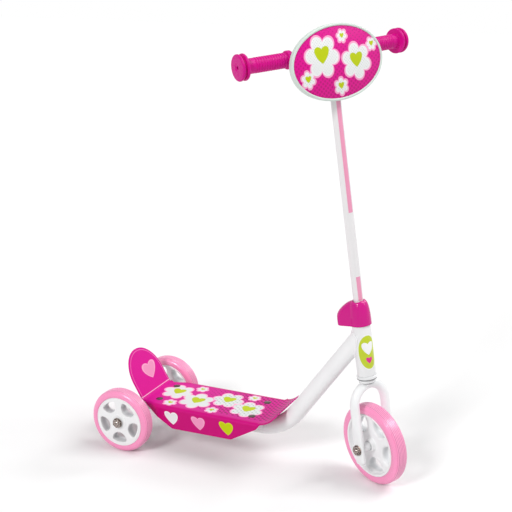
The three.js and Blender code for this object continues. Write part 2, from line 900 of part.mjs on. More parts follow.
// Deck, in its own frame: the sheet's top is Z = 0

const smooth = (share) => share * share * (3 - 2 * share);

function deckEdge(x) {
  const share = clamp((x - deckFlareStart) / (deckFlareEnd - deckFlareStart), 0, 1);
  return lerp(kickHalfWidth, deckHalfWidth, smooth(share));
}

/** The folded channel of top and skirts, shrunk by a wall. */
function deckChannel(wall) {
  const depth = Math.max(skirtRearCornerDepth, skirtFrontCornerDepth) + cutOverrun;
  const xs = [...spread(skirtRear, deckFlareEnd, arcSteps), deckFront];
  const rings = xs.map((x, i) => {
    const past = wall ? (i === 0 ? -cutOverrun : i === xs.length - 1 ? cutOverrun : 0) : 0;
    const half = deckEdge(x) - wall;
    const fold = deckFoldRadius - wall;
    const section = [
      [-half, -depth - (wall ? cutOverrun : 0)],
      ...arcPoints(fold - half, -wall - fold, fold, Math.PI, quarterTurn),
      ...arcPoints(half - fold, -wall - fold, fold, quarterTurn, 0),
      [half, -depth - (wall ? cutOverrun : 0)],
    ];
    return section.map(([y, z]) => new THREE.Vector3(x + past, y, z));
  });
  return lofted(rings);
}

function skirtOutline() {
  const shape = new THREE.Shape();
  shape.moveTo(skirtRear - cutOverrun, cutOverrun);
  shape.lineTo(skirtRear - cutOverrun, -skirtRearDepth);
  shape.lineTo(skirtRear, -skirtRearDepth);
  shape.lineTo(skirtRearCorner, -skirtRearCornerDepth);
  shape.lineTo(skirtFrontCorner, -skirtFrontCornerDepth);
  shape.lineTo(deckFront, -skirtFrontDepth);
  shape.lineTo(deckFront + cutOverrun, -skirtFrontDepth);
  shape.lineTo(deckFront + cutOverrun, cutOverrun);
  return prismAlongY(shape, 3 * deckHalfWidth);
}

/** Stations of the sheet from the kick plate's crown to the front lip's edge. */
function deckStrip() {
  const tilt = degToRad(kickTiltDegrees);
  const bend = quarterTurn - tilt;
  const stations = [];
  const up = new THREE.Vector3(-Math.sin(tilt), 0, Math.cos(tilt));
  const bendLength = kickBendRadius * Math.tan(bend / 2);
  const foot = new THREE.Vector3(deckRear, 0, 0);
  const crownSteps = 3 * arcSteps;
  for (let i = 0; i <= crownSteps; i++) {
    const angle = quarterTurn * (1 - i / crownSteps);
    const height = kickStraightHeight + kickCrownHeight * Math.sin(angle);
    stations.push({
      point: foot.clone().addScaledVector(up, height),
      along: up.clone().negate(),
      half: Math.max(kickHalfWidth * Math.cos(angle), seatGap),
    });
  }
  const centre = foot
    .clone()
    .addScaledVector(up, bendLength)
    .add(new THREE.Vector3(Math.cos(tilt), 0, Math.sin(tilt)).multiplyScalar(kickBendRadius));
  for (let i = 0; i <= arcSteps; i++) {
    const angle = Math.PI + tilt + (bend * i) / arcSteps;
    stations.push({
      point: centre
        .clone()
        .add(new THREE.Vector3(Math.cos(angle), 0, Math.sin(angle)).multiplyScalar(kickBendRadius)),
      along: new THREE.Vector3(-Math.sin(angle), 0, Math.cos(angle)),
      half: kickHalfWidth,
    });
  }
  for (let i = 0; i <= 2 * arcSteps; i++) {
    const x = lerp(deckFlareStart, deckFlareEnd, i / (2 * arcSteps));
    const half = deckEdge(x) - (x > skirtRear ? deckFoldRadius / 2 : 0);
    stations.push({ point: new THREE.Vector3(x, 0, 0), along: axisX, half });
  }
  const lip = degToRad(lipDegrees);
  const lipSteps = 2 * arcSteps;
  const cornerShare = lipCornerRadius / (lipRadius * lip);
  for (let i = 0; i <= lipSteps; i++) {
    const share = i / lipSteps;
    const angle = lip * share;
    const past = Math.max(0, (share - 1 + cornerShare) / cornerShare);
    const cornerCut = lipCornerRadius * (1 - Math.sqrt(1 - past * past));
    stations.push({
      point: new THREE.Vector3(
        deckFront + lipRadius * Math.sin(angle),
        0,
        lipRadius * (1 - Math.cos(angle)),
      ),
      along: new THREE.Vector3(Math.cos(angle), 0, Math.sin(angle)),
      half: deckHalfWidth - cornerCut,
    });
  }
  return stations;
}

/** The sheet's own thickness hung below the strip's line. */
function deckSheet() {
  return swept(deckStrip(), axisY, ({ half }) => [
    [-half, 0],
    [-half, deckThickness],
    [half, deckThickness],
    [half, 0],
  ]);
}

function deckHoles() {
  return [bracketFrontX, bracketRearX].flatMap((x) =>
    [-1, 1].map((side) =>
      upright(
        rod(deckBoltRadius + seatGap, -bracketWebHalfWidth, cutOverrun, smallSides),
      ).translate(x, (side * deckBoltSpacing) / 2, 0),
    ),
  );
}

function deckPan() {
  const channel = common(cut(deckChannel(0), deckChannel(deckThickness)), skirtOutline());
  return cut(joined(channel, deckSheet()), ...deckHoles());
}

/** A welded channel that carries the deck over the frame tube. */
function deckBracket(x) {
  const top = -deckThickness - seatGap;
  const tubeMiddle = frameTubeHeight - deckHeight - Math.tan(deckPitch) * x;
  const foot = tubeMiddle + bracketTubeOverlap;
  const [half, inner] = [bracketWidth / 2, bracketWidth / 2 - bracketWall];
  const section = new THREE.Shape();
  section.moveTo(x - half, top);
  section.lineTo(x + half, top);
  section.lineTo(x + half, foot);
  section.lineTo(x + inner, foot);
  section.lineTo(x + inner, top - bracketWall);
  section.lineTo(x - inner, top - bracketWall);
  section.lineTo(x - inner, foot);
  section.lineTo(x - half, foot);
  const face = new THREE.Shape();
  const end = bracketLength / 2;
  face.moveTo(-end, top + cutOverrun);
  face.lineTo(-end, top - bracketEndDepth);
  face.lineTo(-bracketWebHalfWidth, foot - cutOverrun);
  face.lineTo(bracketWebHalfWidth, foot - cutOverrun);
  face.lineTo(end, top - bracketEndDepth);
  face.lineTo(end, top + cutOverrun);
  const channel = common(
    prismAlongY(section, bracketLength),
    prismAlongX(face, x - bracketWidth, x + bracketWidth),
  );
  const toDeck = deck.matrixWorld.clone().invert();
  return cut(channel, frameTubeCutter().applyMatrix4(toDeck), ...deckHoles());
}

/** The frame tube's outside, grown by a gap. */
const frameTubeCutter = () =>
  swept(frameTubePath(), axisY, () => circle(frameTubeRadius + seatGap, tubeSides));

function deckBolt() {
  const under = -2 * deckThickness - bracketWall - deckNutHeight - deckBoltTail;
  return upright(
    turned(
      [
        [0, under],
        [deckBoltRadius, under],
        [deckBoltRadius, seatGap],
        ...domePoints(deckBoltHeadRadius, seatGap, deckBoltHeadHeight),
      ],
      smallSides,
    ),
  );
}

function deckNut() {
  const corner = deckNutAcrossFlats / 2 / Math.cos(Math.PI / 6);
  const top = -deckThickness - 2 * seatGap - bracketWall;
  return upright(
    cut(
      rod(corner, top - deckNutHeight, top, 6),
      rod(deckBoltRadius + seatGap, top - 2 * deckNutHeight, top + cutOverrun, smallSides),
    ),
  );
}

function deckPieces() {
  const fasteners = [
    ['front', bracketFrontX],
    ['rear', bracketRearX],
  ].flatMap(([end, x]) =>
    [
      ['right', -1],
      ['left', 1],
    ].map(([side, sign]) =>
      group(
        x,
        (sign * deckBoltSpacing) / 2,
        0,
        piece('deck_bolt_' + end + '_' + side, deckBolt(), zincSteel),
        piece('deck_nut_' + end + '_' + side, deckNut(), zincSteel),
      ),
    ),
  );
  return [
    piece('deck_pan', deckPan(), magentaPaint),
    piece('deck_bracket_front', deckBracket(bracketFrontX), whitePaint),
    piece('deck_bracket_rear', deckBracket(bracketRearX), whitePaint),
    ...fasteners,
  ];
}

// Handlebar and grips

function barPath() {
  const end = (side) =>
    new THREE.Vector3(
      -barHalfLength * Math.sin(barSweep),
      side * barHalfLength * Math.cos(barSweep),
      barHeight,
    );
  const middle = new THREE.Vector3(0, 0, barHeight);
  return bentPath([end(-1), middle, end(1)], barBendRadius, barBendSteps);
}

function handlebarCutter() {
  return swept(barPath(), axisZ, () => circle(barRadius + seatGap, barSides));
}

function gripGeometry() {
  const ribStart = gripStart + gripFlangeWidth + gripRibPitch / 2;
  const ribs = Array.from({ length: gripRibCount }, (_, i) => {
    const start = ribStart + i * gripRibPitch;
    return [
      [gripCoreRadius, start],
      [gripCoreRadius + gripRibHeight, start + gripRibPitch / 2],
    ];
  }).flat();
  const ribEnd = ribStart + gripRibCount * gripRibPitch;
  const disc = (start) => [
    [gripDiscRadius - gripDiscRound, start],
    [gripDiscRadius, start + gripDiscRound],
    [gripDiscRadius, start + gripDiscThickness - gripDiscRound],
    [gripDiscRadius - gripDiscRound, start + gripDiscThickness],
  ];
  const outerDisc = gripEnd - gripDiscThickness;
  const innerDisc = outerDisc - gripDiscSpacing;
  const bore = barRadius + seatGap;
  const boreEnd = barHalfLength + seatGap;
  return turned(
    [
      [bore, gripStart],
      [gripFlangeRadius - gripDiscRound, gripStart],
      [gripFlangeRadius, gripStart + gripDiscRound],
      [gripFlangeRadius, gripStart + gripFlangeWidth - gripDiscRound],
      [gripFlangeRadius - gripDiscRound, gripStart + gripFlangeWidth],
      ...ribs,
      [gripCoreRadius, ribEnd],
      [gripSmoothRadius, ribEnd + gripRibPitch / 2],
      [gripSmoothRadius, innerDisc],
      ...disc(innerDisc),
      [gripDiscNeckRadius, innerDisc + gripDiscThickness],
      [gripDiscNeckRadius, outerDisc],
      ...disc(outerDisc),
      [gripEndHoleRadius, gripEnd],
      [gripEndHoleRadius, boreEnd],
      [bore, boreEnd],
    ],
    gripSides,
  );
}

function handlebarPieces() {
  const bar = bentTube(barPath(), axisZ, barRadius, barWall, barSides);
  const leftArm = group(0, 0, barHeight, piece('grip_left', gripGeometry(), magentaGrip));
  leftArm.rotation.z = barSweep;
  const rightArm = group(0, 0, barHeight, piece('grip_right', gripGeometry(), magentaGrip));
  rightArm.rotation.z = Math.PI - barSweep;
  return [piece('handlebar', bar, whitePaint), leftArm, rightArm];
}

// Front plate

function ovalShape(inset) {
  const shape = new THREE.Shape();
  const [across, up] = [plateHalfWidth - inset, plateHalfHeight - inset];
  shape.absellipse(0, 0, across, up, 0, 2 * Math.PI, false, 0);
  return shape;
}

/** A block with square ends, given by its lowest and highest corners. */
function block(low, high) {
  const size = high.clone().sub(low);
  const middle = high.clone().add(low).divideScalar(2);
  return new THREE.BoxGeometry(size.x, size.y, size.z).translate(middle.x, middle.y, middle.z);
}

function clampScrewPlaces(side) {
  const y = side * padOffset;
  return [-1, 1].map((end) => ({ y, z: barHeight + (end * clampScrewSpacing) / 2 }));
}

/** Where the handlebar's centre line passes a mounting pad. */
const padSplit = -padOffset * Math.tan(barSweep);
const padFace = padSplit + clampSplitGap / 2;
const clampFace = padSplit - clampSplitGap / 2;

function clampGeometry(side) {
  const back = clampFace - clampLugThickness;
  const shape = new THREE.Shape();
  const lift = Math.asin((clampLugThickness + clampSplitGap / 2) / clampRadius);
  shape.moveTo(clampFace, barHeight + padHalfHeight);
  shape.lineTo(back, barHeight + padHalfHeight);
  shape.lineTo(back, barHeight + clampRadius * Math.cos(lift));
  shape.absarc(padSplit, barHeight, clampRadius, quarterTurn + lift, 3 * quarterTurn - lift, false);
  shape.lineTo(back, barHeight - padHalfHeight);
  shape.lineTo(clampFace, barHeight - padHalfHeight);
  const holes = clampScrewPlaces(side).map(({ y, z }) =>
    rod(clampScrewRadius + seatGap, -clampRadius, clampRadius, smallSides)
      .rotateZ(quarterTurn)
      .translate(padSplit, y, z),
  );
  const yoke = prismAlongY(shape, padWidth).translate(0, side * padOffset, 0);
  return cut(yoke, handlebarCutter(), ...holes);
}

const plateHeight = barHeight - plateDrop;

function plateShell() {
  const back = plateFront - plateDepth;
  const floor = plateFront - plateRecessDepth - plateWall;
  const shell = cut(
    prismAlongX(ovalShape(0), back, plateFront),
    prismAlongX(ovalShape(plateRimWidth), plateFront - plateRecessDepth, plateFront + cutOverrun),
    prismAlongX(ovalShape(plateWall), back - cutOverrun, floor),
  ).translate(0, 0, plateHeight);
  const padEnd = floor + plateWall / 2;
  const pads = [-1, 1].map((side) => {
    const [right, left] = [side * padOffset - padWidth / 2, side * padOffset + padWidth / 2];
    return block(
      new THREE.Vector3(padFace, right, barHeight - padHalfHeight),
      new THREE.Vector3(padEnd, left, barHeight + padHalfHeight),
    );
  });
  const holes = [-1, 1].flatMap(clampScrewPlaces).map(({ y, z }) =>
    rod(clampScrewRadius + seatGap, padSplit, floor - seatGap, smallSides)
      .rotateZ(-quarterTurn)
      .translate(0, y, z),
  );
  return cut(joined(shell, ...pads), handlebarCutter(), ...holes);
}

function clampScrew() {
  const seat = clampFace - clampLugThickness - seatGap;
  return turned(
    [
      [0, seat - clampScrewHeadHeight],
      [clampScrewHeadRadius, seat - clampScrewHeadHeight],
      [clampScrewHeadRadius, seat],
      [clampScrewRadius, seat],
      [clampScrewRadius, seat + clampScrewLength],
      [0, seat + clampScrewLength],
    ],
    smallSides,
  ).rotateZ(-quarterTurn);
}

function frontPlate() {
  const panelBack = plateFront - plateRecessDepth + seatGap;
  const panel = prismAlongX(
    ovalShape(plateRimWidth + seatGap),
    panelBack,
    panelBack + panelThickness,
  );
  const fittings = [
    ['right', -1],
    ['left', 1],
  ].flatMap(([name, side]) => [
    piece('plate_clamp_' + name, clampGeometry(side), whiteMoulding),
    ...clampScrewPlaces(side).map(({ y, z }, i) => {
      const screw = piece(
        'plate_screw_' + name + (i ? '_upper' : '_lower'),
        clampScrew(),
        zincSteel,
      );
      screw.position.set(0, y, z);
      return screw;
    }),
  ]);
  return [
    piece('plate_shell', plateShell(), whiteMoulding),
    piece('plate_panel', panel.translate(0, 0, plateHeight), magentaPrint),
    ...fittings,
  ];
}

// Assembly

scooter.add(piece('frame_tube', frameTube(), whitePaint), rearAxle());
deck.add(...deckPieces());
head.add(...headset(), ...headsetCover());
steering.add(frontWheel(), ...frontFork(), ...stem(), ...handlebarPieces(), ...frontPlate());

scooter.updateMatrixWorld(true);
const bounds = new THREE.Box3().setFromObject(scooter, true);
const middle = bounds.getCenter(new THREE.Vector3());
scooter.position.set(-middle.x, -middle.y, -bounds.min.z);

const part = new THREE.Group();
part.add(scooter);

export default part;
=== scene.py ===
"""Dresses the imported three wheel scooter: its surfaces, finishes, prints, lamps and camera."""

from __future__ import annotations

import json
import logging
from dataclasses import dataclass
from enum import Enum
from math import atan2, copysign, cos, exp, pi, radians, sin, sqrt, tan
from typing import Any, Callable, Iterable, Sequence

import bmesh
import bpy
from mathutils import Matrix, Vector

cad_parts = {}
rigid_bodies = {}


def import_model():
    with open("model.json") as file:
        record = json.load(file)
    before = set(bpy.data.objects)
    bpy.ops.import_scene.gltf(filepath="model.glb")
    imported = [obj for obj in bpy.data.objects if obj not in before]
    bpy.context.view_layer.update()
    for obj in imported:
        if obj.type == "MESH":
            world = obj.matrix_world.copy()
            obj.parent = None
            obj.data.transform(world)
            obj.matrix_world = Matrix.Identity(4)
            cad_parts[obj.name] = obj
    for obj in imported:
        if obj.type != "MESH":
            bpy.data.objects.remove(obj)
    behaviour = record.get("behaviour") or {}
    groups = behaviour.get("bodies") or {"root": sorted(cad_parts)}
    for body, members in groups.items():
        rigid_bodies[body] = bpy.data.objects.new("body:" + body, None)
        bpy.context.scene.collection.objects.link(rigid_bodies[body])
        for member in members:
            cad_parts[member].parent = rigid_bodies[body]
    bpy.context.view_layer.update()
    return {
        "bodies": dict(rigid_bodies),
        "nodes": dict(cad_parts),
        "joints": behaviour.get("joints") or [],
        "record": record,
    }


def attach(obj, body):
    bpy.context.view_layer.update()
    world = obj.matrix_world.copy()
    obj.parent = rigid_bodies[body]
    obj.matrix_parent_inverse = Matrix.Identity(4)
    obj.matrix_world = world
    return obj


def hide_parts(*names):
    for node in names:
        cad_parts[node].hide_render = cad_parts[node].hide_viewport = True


LOG = logging.getLogger("scooter")
MM = 0.001
QUARTER = pi / 2
FULL = 2 * pi
LOCAL = "local_mm"

Mesh, Object, Material = bpy.types.Mesh, bpy.types.Object, bpy.types.Material
Node, Socket, Tree = bpy.types.Node, bpy.types.NodeSocket, bpy.types.NodeTree
Pair = tuple[float, float]
Triple = tuple[float, float, float]
Colour = tuple[float, float, float]


def srgb(red: int, green: int, blue: int) -> Colour:
    """Turns a display colour into the linear one that a shader takes.

    Args:
        red: Red, from 0 to 255.
        green: Green, from 0 to 255.
        blue: Blue, from 0 to 255.

    Returns:
        The linear colour.
    """

    def linear(value: int) -> float:
        """Decodes one channel."""
        share = value / 255
        return share / 12.92 if share <= 0.04045 else ((share + 0.055) / 1.055) ** 2.4

    return linear(red), linear(green), linear(blue)


def spread(start: float, end: float, steps: int) -> list[float]:
    """Evenly spaced values with both ends included.

    Args:
        start: The first value.
        end: The last value.
        steps: How many steps lie between them.

    Returns:
        The values.
    """
    return [start + (end - start) * i / steps for i in range(steps + 1)]


def smooth_step(share: float) -> float:
    """Eases a share from 0 to 1, level at both ends."""
    held = min(max(share, 0.0), 1.0)
    return held * held * (3 - 2 * held)


def smooth_curve(points: Sequence[Pair], steps: int) -> list[Pair]:
    """A smooth curve through points.

    Args:
        points: The points [x, y].
        steps: How many steps lie between two points.

    Returns:
        The curve's points.
    """
    padded = [points[0], *points, points[-1]]
    result: list[Pair] = []
    for before, start, end, after in zip(padded, padded[1:], padded[2:], padded[3:]):
        for t in spread(0, 1, steps)[:-1]:
            parts = []
            for a, b, c, d in zip(before, start, end, after):
                bend = 2 * a - 5 * b + 4 * c - d + t * (3 * b - a - 3 * c + d)
                parts.append(b + t * (c - a + t * bend) / 2)
            result.append((parts[0], parts[1]))
    return [*result, (points[-1][0], points[-1][1])]


# Frames of reference


def shift(x: float = 0.0, y: float = 0.0, z: float = 0.0) -> Matrix:
    """A matrix that moves by a distance along each axis."""
    return Matrix.Translation(Vector((x, y, z)))


def rotation(degrees: float, axis: str) -> Matrix:
    """A matrix that turns by degrees about an axis."""
    return Matrix.Rotation(radians(degrees), 4, axis)


@dataclass(frozen=True)
class Stance:
    """How the scooter stands, in millimetres and degrees."""

    rake: float = 7.9
    rest_steer: float = -28.3
    deck_pitch: float = 1.1
    deck_height: float = 82.7
    wheel_offset: float = 84.0
    rear_radius: float = 58.0


class Body(Enum):
    """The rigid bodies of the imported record."""

    FRAME = "frame"
    STEERING = "steering"
    FRONT_WHEEL = "front_wheel"
    REAR_LEFT = "rear_wheel_left"
    REAR_RIGHT = "rear_wheel_right"


@dataclass(frozen=True)
class Home:
    """A matrix from local millimetres to the row frame, and the body that its pieces ride on."""

    place: Matrix
    body: Body

    def seat(
        self,
        name: str,
        mesh: Mesh | Shape,
        slot: str,
        material: Material,
        *replaces: str,
        sharp: float = 38,
    ) -> None:
        """Finishes a piece: keeps its local place, moves it into the row frame and lets it ride.

        Args:
            name: The piece's name.
            mesh: Its mesh or shape, in local millimetres.
            slot: The record's material slot; not used.
            material: Its finish.
            *replaces: The CAD nodes that it stands for.
            sharp: The angle from which an edge stays sharp, in degrees.
        """
        if isinstance(mesh, Shape):
            mesh = mesh.mesh(name)
        mesh.name = name
        local = mesh.attributes.new(LOCAL, "FLOAT_VECTOR", "POINT")
        flat = [0.0] * (3 * len(mesh.vertices))
        mesh.vertices.foreach_get("co", flat)
        local.data.foreach_set("vector", flat)
        mesh.transform(self.place)
        mesh.shade_smooth()
        mesh.set_sharp_from_angle(angle=radians(sharp))
        mesh.materials.clear()
        mesh.materials.append(material)
        piece = bpy.data.objects.new(name, mesh)
        bpy.context.scene.collection.objects.link(piece)
        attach(piece, self.body.value)
        if replaces:
            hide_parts(*replaces)
        LOG.info("%s: %d faces on %s", name, len(mesh.polygons), self.body.value)


@dataclass(frozen=True)
class Datum:
    """The scooter's frames of reference."""

    scooter: Home
    head: Home
    deck: Home
    steering: Home
    front: Home
    rear_left: Home
    rear_right: Home

    @classmethod
    def from_joints(cls, joints: Sequence[dict[str, Any]], stance: Stance) -> "Datum":
        """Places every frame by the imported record's joints.

        Args:
            joints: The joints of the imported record.
            stance: How the scooter stands.

        Returns:
            The frames of reference.
        """
        by_name = {joint["name"]: joint for joint in joints}
        front = Vector(by_name["steering"]["pos_m"])
        left = Vector(by_name["rear_wheel_left_spin"]["pos_m"])
        right = Vector(by_name["rear_wheel_right_spin"]["pos_m"])
        scale = Matrix.Scale(MM, 4)
        head = shift(*front) @ rotation(-stance.rake, "Y")
        steer = head @ rotation(stance.rest_steer, "Z")
        ground = shift(left.x, (left.y + right.y) / 2)
        deck = ground @ shift(z=stance.deck_height * MM) @ rotation(-stance.deck_pitch, "Y")
        offset = stance.wheel_offset * MM
        rear = ground @ shift(z=stance.rear_radius * MM)
        rear_left = rear @ shift(y=offset)
        rear_right = rear @ shift(y=-offset) @ rotation(180, "Z")
        homes = (
            (ground, Body.FRAME),
            (head, Body.FRAME),
            (deck, Body.FRAME),
            (steer, Body.STEERING),
            (steer, Body.FRONT_WHEEL),
            (rear_left, Body.REAR_LEFT),
            (rear_right, Body.REAR_RIGHT),
        )
        return cls(*(Home(frame @ scale, body) for frame, body in homes))


# Shapes


TUBE_SIDES = 48


def circle(radius: float, sides: int = TUBE_SIDES) -> list[Pair]:
    """Points round a circle."""
    angles = (FULL * i / sides for i in range(sides))
    return [(radius * cos(angle), radius * sin(angle)) for angle in angles]


@dataclass
class Shape:
    """Points and faces in local millimetres."""

    points: list[Vector]
    faces: list[tuple[int, ...]]

    def moved(self, matrix: Matrix) -> "Shape":
        """The same shape under a matrix."""
        return Shape([matrix @ point for point in self.points], list(self.faces))

    def __add__(self, other: "Shape") -> "Shape":
        """Both shapes side by side in one."""
        shifted = [tuple(i + len(self.points) for i in face) for face in other.faces]
        return Shape(self.points + other.points, self.faces + shifted)

    def mesh(self, name: str, weld: float = 1e-4) -> Mesh:
        """Makes a mesh with merged doubles and outward faces.

        Args:
            name: The mesh's name.
            weld: How close points are merged, in millimetres.

        Returns:
            The mesh, in local millimetres.
        """
        mesh = bpy.data.meshes.new(name)
        mesh.from_pydata([tuple(point) for point in self.points], [], self.faces)
        work = bmesh.new()
        work.from_mesh(mesh)
        bmesh.ops.remove_doubles(work, verts=work.verts, dist=weld)
        bmesh.ops.dissolve_degenerate(work, edges=work.edges, dist=weld)
        bmesh.ops.recalc_face_normals(work, faces=work.faces)
        work.to_mesh(mesh)
        work.free()
        return mesh


def lofted(rings: Sequence[Sequence[Vector]], capped: bool = True, looped: bool = False) -> Shape:
    """Skins closed rings of points.

    Args:
        rings: Rings with equally many points.
        capped: Whether the first and last rings are filled.
        looped: Whether the last ring joins the first.

    Returns:
        The skinned shape.
    """
    count = len(rings[0])
    points = [point for ring in rings for point in ring]
    faces: list[tuple[int, ...]] = []
    last = len(rings) if looped else len(rings) - 1
    for ring in range(last):
        near, far = ring * count, (ring + 1) % len(rings) * count
        for i in range(count):
            j = (i + 1) % count
            faces.append((near + i, near + j, far + j, far + i))
    if capped and not looped:
        faces.append(tuple(reversed(range(count))))
        faces.append(tuple(range((len(rings) - 1) * count, len(rings) * count)))
    return Shape(points, faces)


def softened(profile: Sequence[Sequence[float]], closed: bool, steps: int = 4) -> list[Pair]:
    """Rounds the corners of a flat profile.

    Args:
        profile: Points [x, y] or [x, y, corner radius].
        closed: Whether the last point joins the first.
        steps: How many steps each round corner has.

    Returns:
        The points of the rounded profile.
    """
    result: list[Pair] = []
    count = len(profile)
    for i, entry in enumerate(profile):
        here = Vector(entry[:2])
        radius = entry[2] if len(entry) > 2 else 0.0
        if radius <= 0 or (not closed and i in (0, count - 1)):
            result.append((here.x, here.y))
            continue
        before = Vector(profile[i - 1][:2]) - here
        after = Vector(profile[(i + 1) % count][:2]) - here
        angle = before.angle(after, pi)
        if angle > pi - 0.02:
            result.append((here.x, here.y))
            continue
        reach = radius / tan(angle / 2)
        reach = min(reach, before.length * 0.49, after.length * 0.49)
        held = reach * tan(angle / 2)
        first, last = before.normalized(), after.normalized()
        centre = here + (first + last).normalized() * (held / sin(angle / 2))
        start, end = here + first * reach - centre, here + last * reach - centre
        sweep = start.angle_signed(end)
        for step in range(steps + 1):
            turned_by = Matrix.Rotation(-sweep * step / steps, 2)
            point = centre + turned_by @ start
            result.append((point.x, point.y))
    return result


def turned(profile: Sequence[Pair], segments: int = 64, about_y: bool = True) -> Shape:
    """Turns a half section about an axis.

    Args:
        profile: Points [radius, height]; a profile that leaves the axis open is closed round.
        segments: How many segments go round.
        about_y: Whether the axis is Y, and not Z.

    Returns:
        The turned shape.
    """
    looped = profile[0][0] > 0 or profile[-1][0] > 0
    rings = []
    for radius, height in profile:
        if about_y:
            ring = [Vector((y, height, x)) for x, y in circle(radius, segments)]
        else:
            ring = [Vector((x, y, height)) for x, y in circle(radius, segments)]
        rings.append(ring)
    return lofted(rings, capped=False, looped=looped)


def tube_profile(
    radius: float, bore: float, low: float, high: float, edge: float = 0.4
) -> list[Pair]:
    """The half section of a round tube with eased edges.

    Args:
        radius: Outer radius.
        bore: Inner radius.
        low: Lower end.
        high: Upper end.
        edge: How far the edges are rounded.

    Returns:
        The profile's points.
    """
    corners = [(bore, low), (radius, low), (radius, high), (bore, high)]
    return softened([(*corner, edge) for corner in corners], closed=True, steps=3)


@dataclass(frozen=True)
class Station:
    """A place on a path and the direction in which the path runs there."""

    point: Vector
    along: Vector


def bent_path(corners: Sequence[Vector], radius: float, steps: int = 24) -> list[Station]:
    """Stations along straight runs that are joined by round bends.

    Args:
        corners: The ends of the straight runs.
        radius: The bends' radius.
        steps: How many steps each bend has.

    Returns:
        The stations in order.
    """
    headings = [(b - a).normalized() for a, b in zip(corners, corners[1:])]
    stations = [Station(corners[0].copy(), headings[0])]
    for corner, before, after in zip(corners[1:-1], headings, headings[1:]):
        turn = before.angle(after)
        inward = (after - before * before.dot(after)).normalized()
        centre = corner - before * (radius * tan(turn / 2)) + inward * radius
        for angle in spread(0, turn, steps):
            out = before * sin(angle) - inward * cos(angle)
            along = before * cos(angle) + inward * sin(angle)
            stations.append(Station(centre + out * radius, along))
    stations.append(Station(corners[-1].copy(), headings[-1]))
    kept = [stations[0]]
    for station in stations[1:]:
        if (station.point - kept[-1].point).length > 0.05:
            kept.append(station)
    return kept


def swept(
    stations: Sequence[Station],
    across: Vector,
    section: Callable[[Station], Sequence[Pair]],
    capped: bool = True,
) -> Shape:
    """Sweeps a section along stations that lie in one plane.

    Args:
        stations: The path.
        across: The path's plane normal.
        section: Gives [across, outward] points at a station.
        capped: Whether the ends are filled.

    Returns:
        The swept shape.
    """
    rings = []
    for station in stations:
        outward = across.cross(station.along)
        rings.append([station.point + across * u + outward * v for u, v in section(station)])
    return lofted(rings, capped=capped)


def bent_tube(stations: Sequence[Station], across: Vector, radius: float, wall: float) -> Shape:
    """A round tube along a path, with its bore and its end faces.

    Args:
        stations: The path.
        across: The path's plane normal.
        radius: Outer radius.
        wall: Wall thickness.

    Returns:
        The tube's shape.
    """
    outer = swept(stations, across, lambda _: circle(radius), capped=False)
    inner = swept(stations, across, lambda _: circle(radius - wall), capped=False)
    count = len(outer.points)
    shape = outer + inner
    for start in (0, count - TUBE_SIDES):
        for i in range(TUBE_SIDES):
            j = (i + 1) % TUBE_SIDES
            shape.faces.append((start + i, start + j, count + start + j, count + start + i))
    return shape


# Node trees


FLOAT, VECTOR, GEOMETRY = "NodeSocketFloat", "NodeSocketVector", "NodeSocketGeometry"


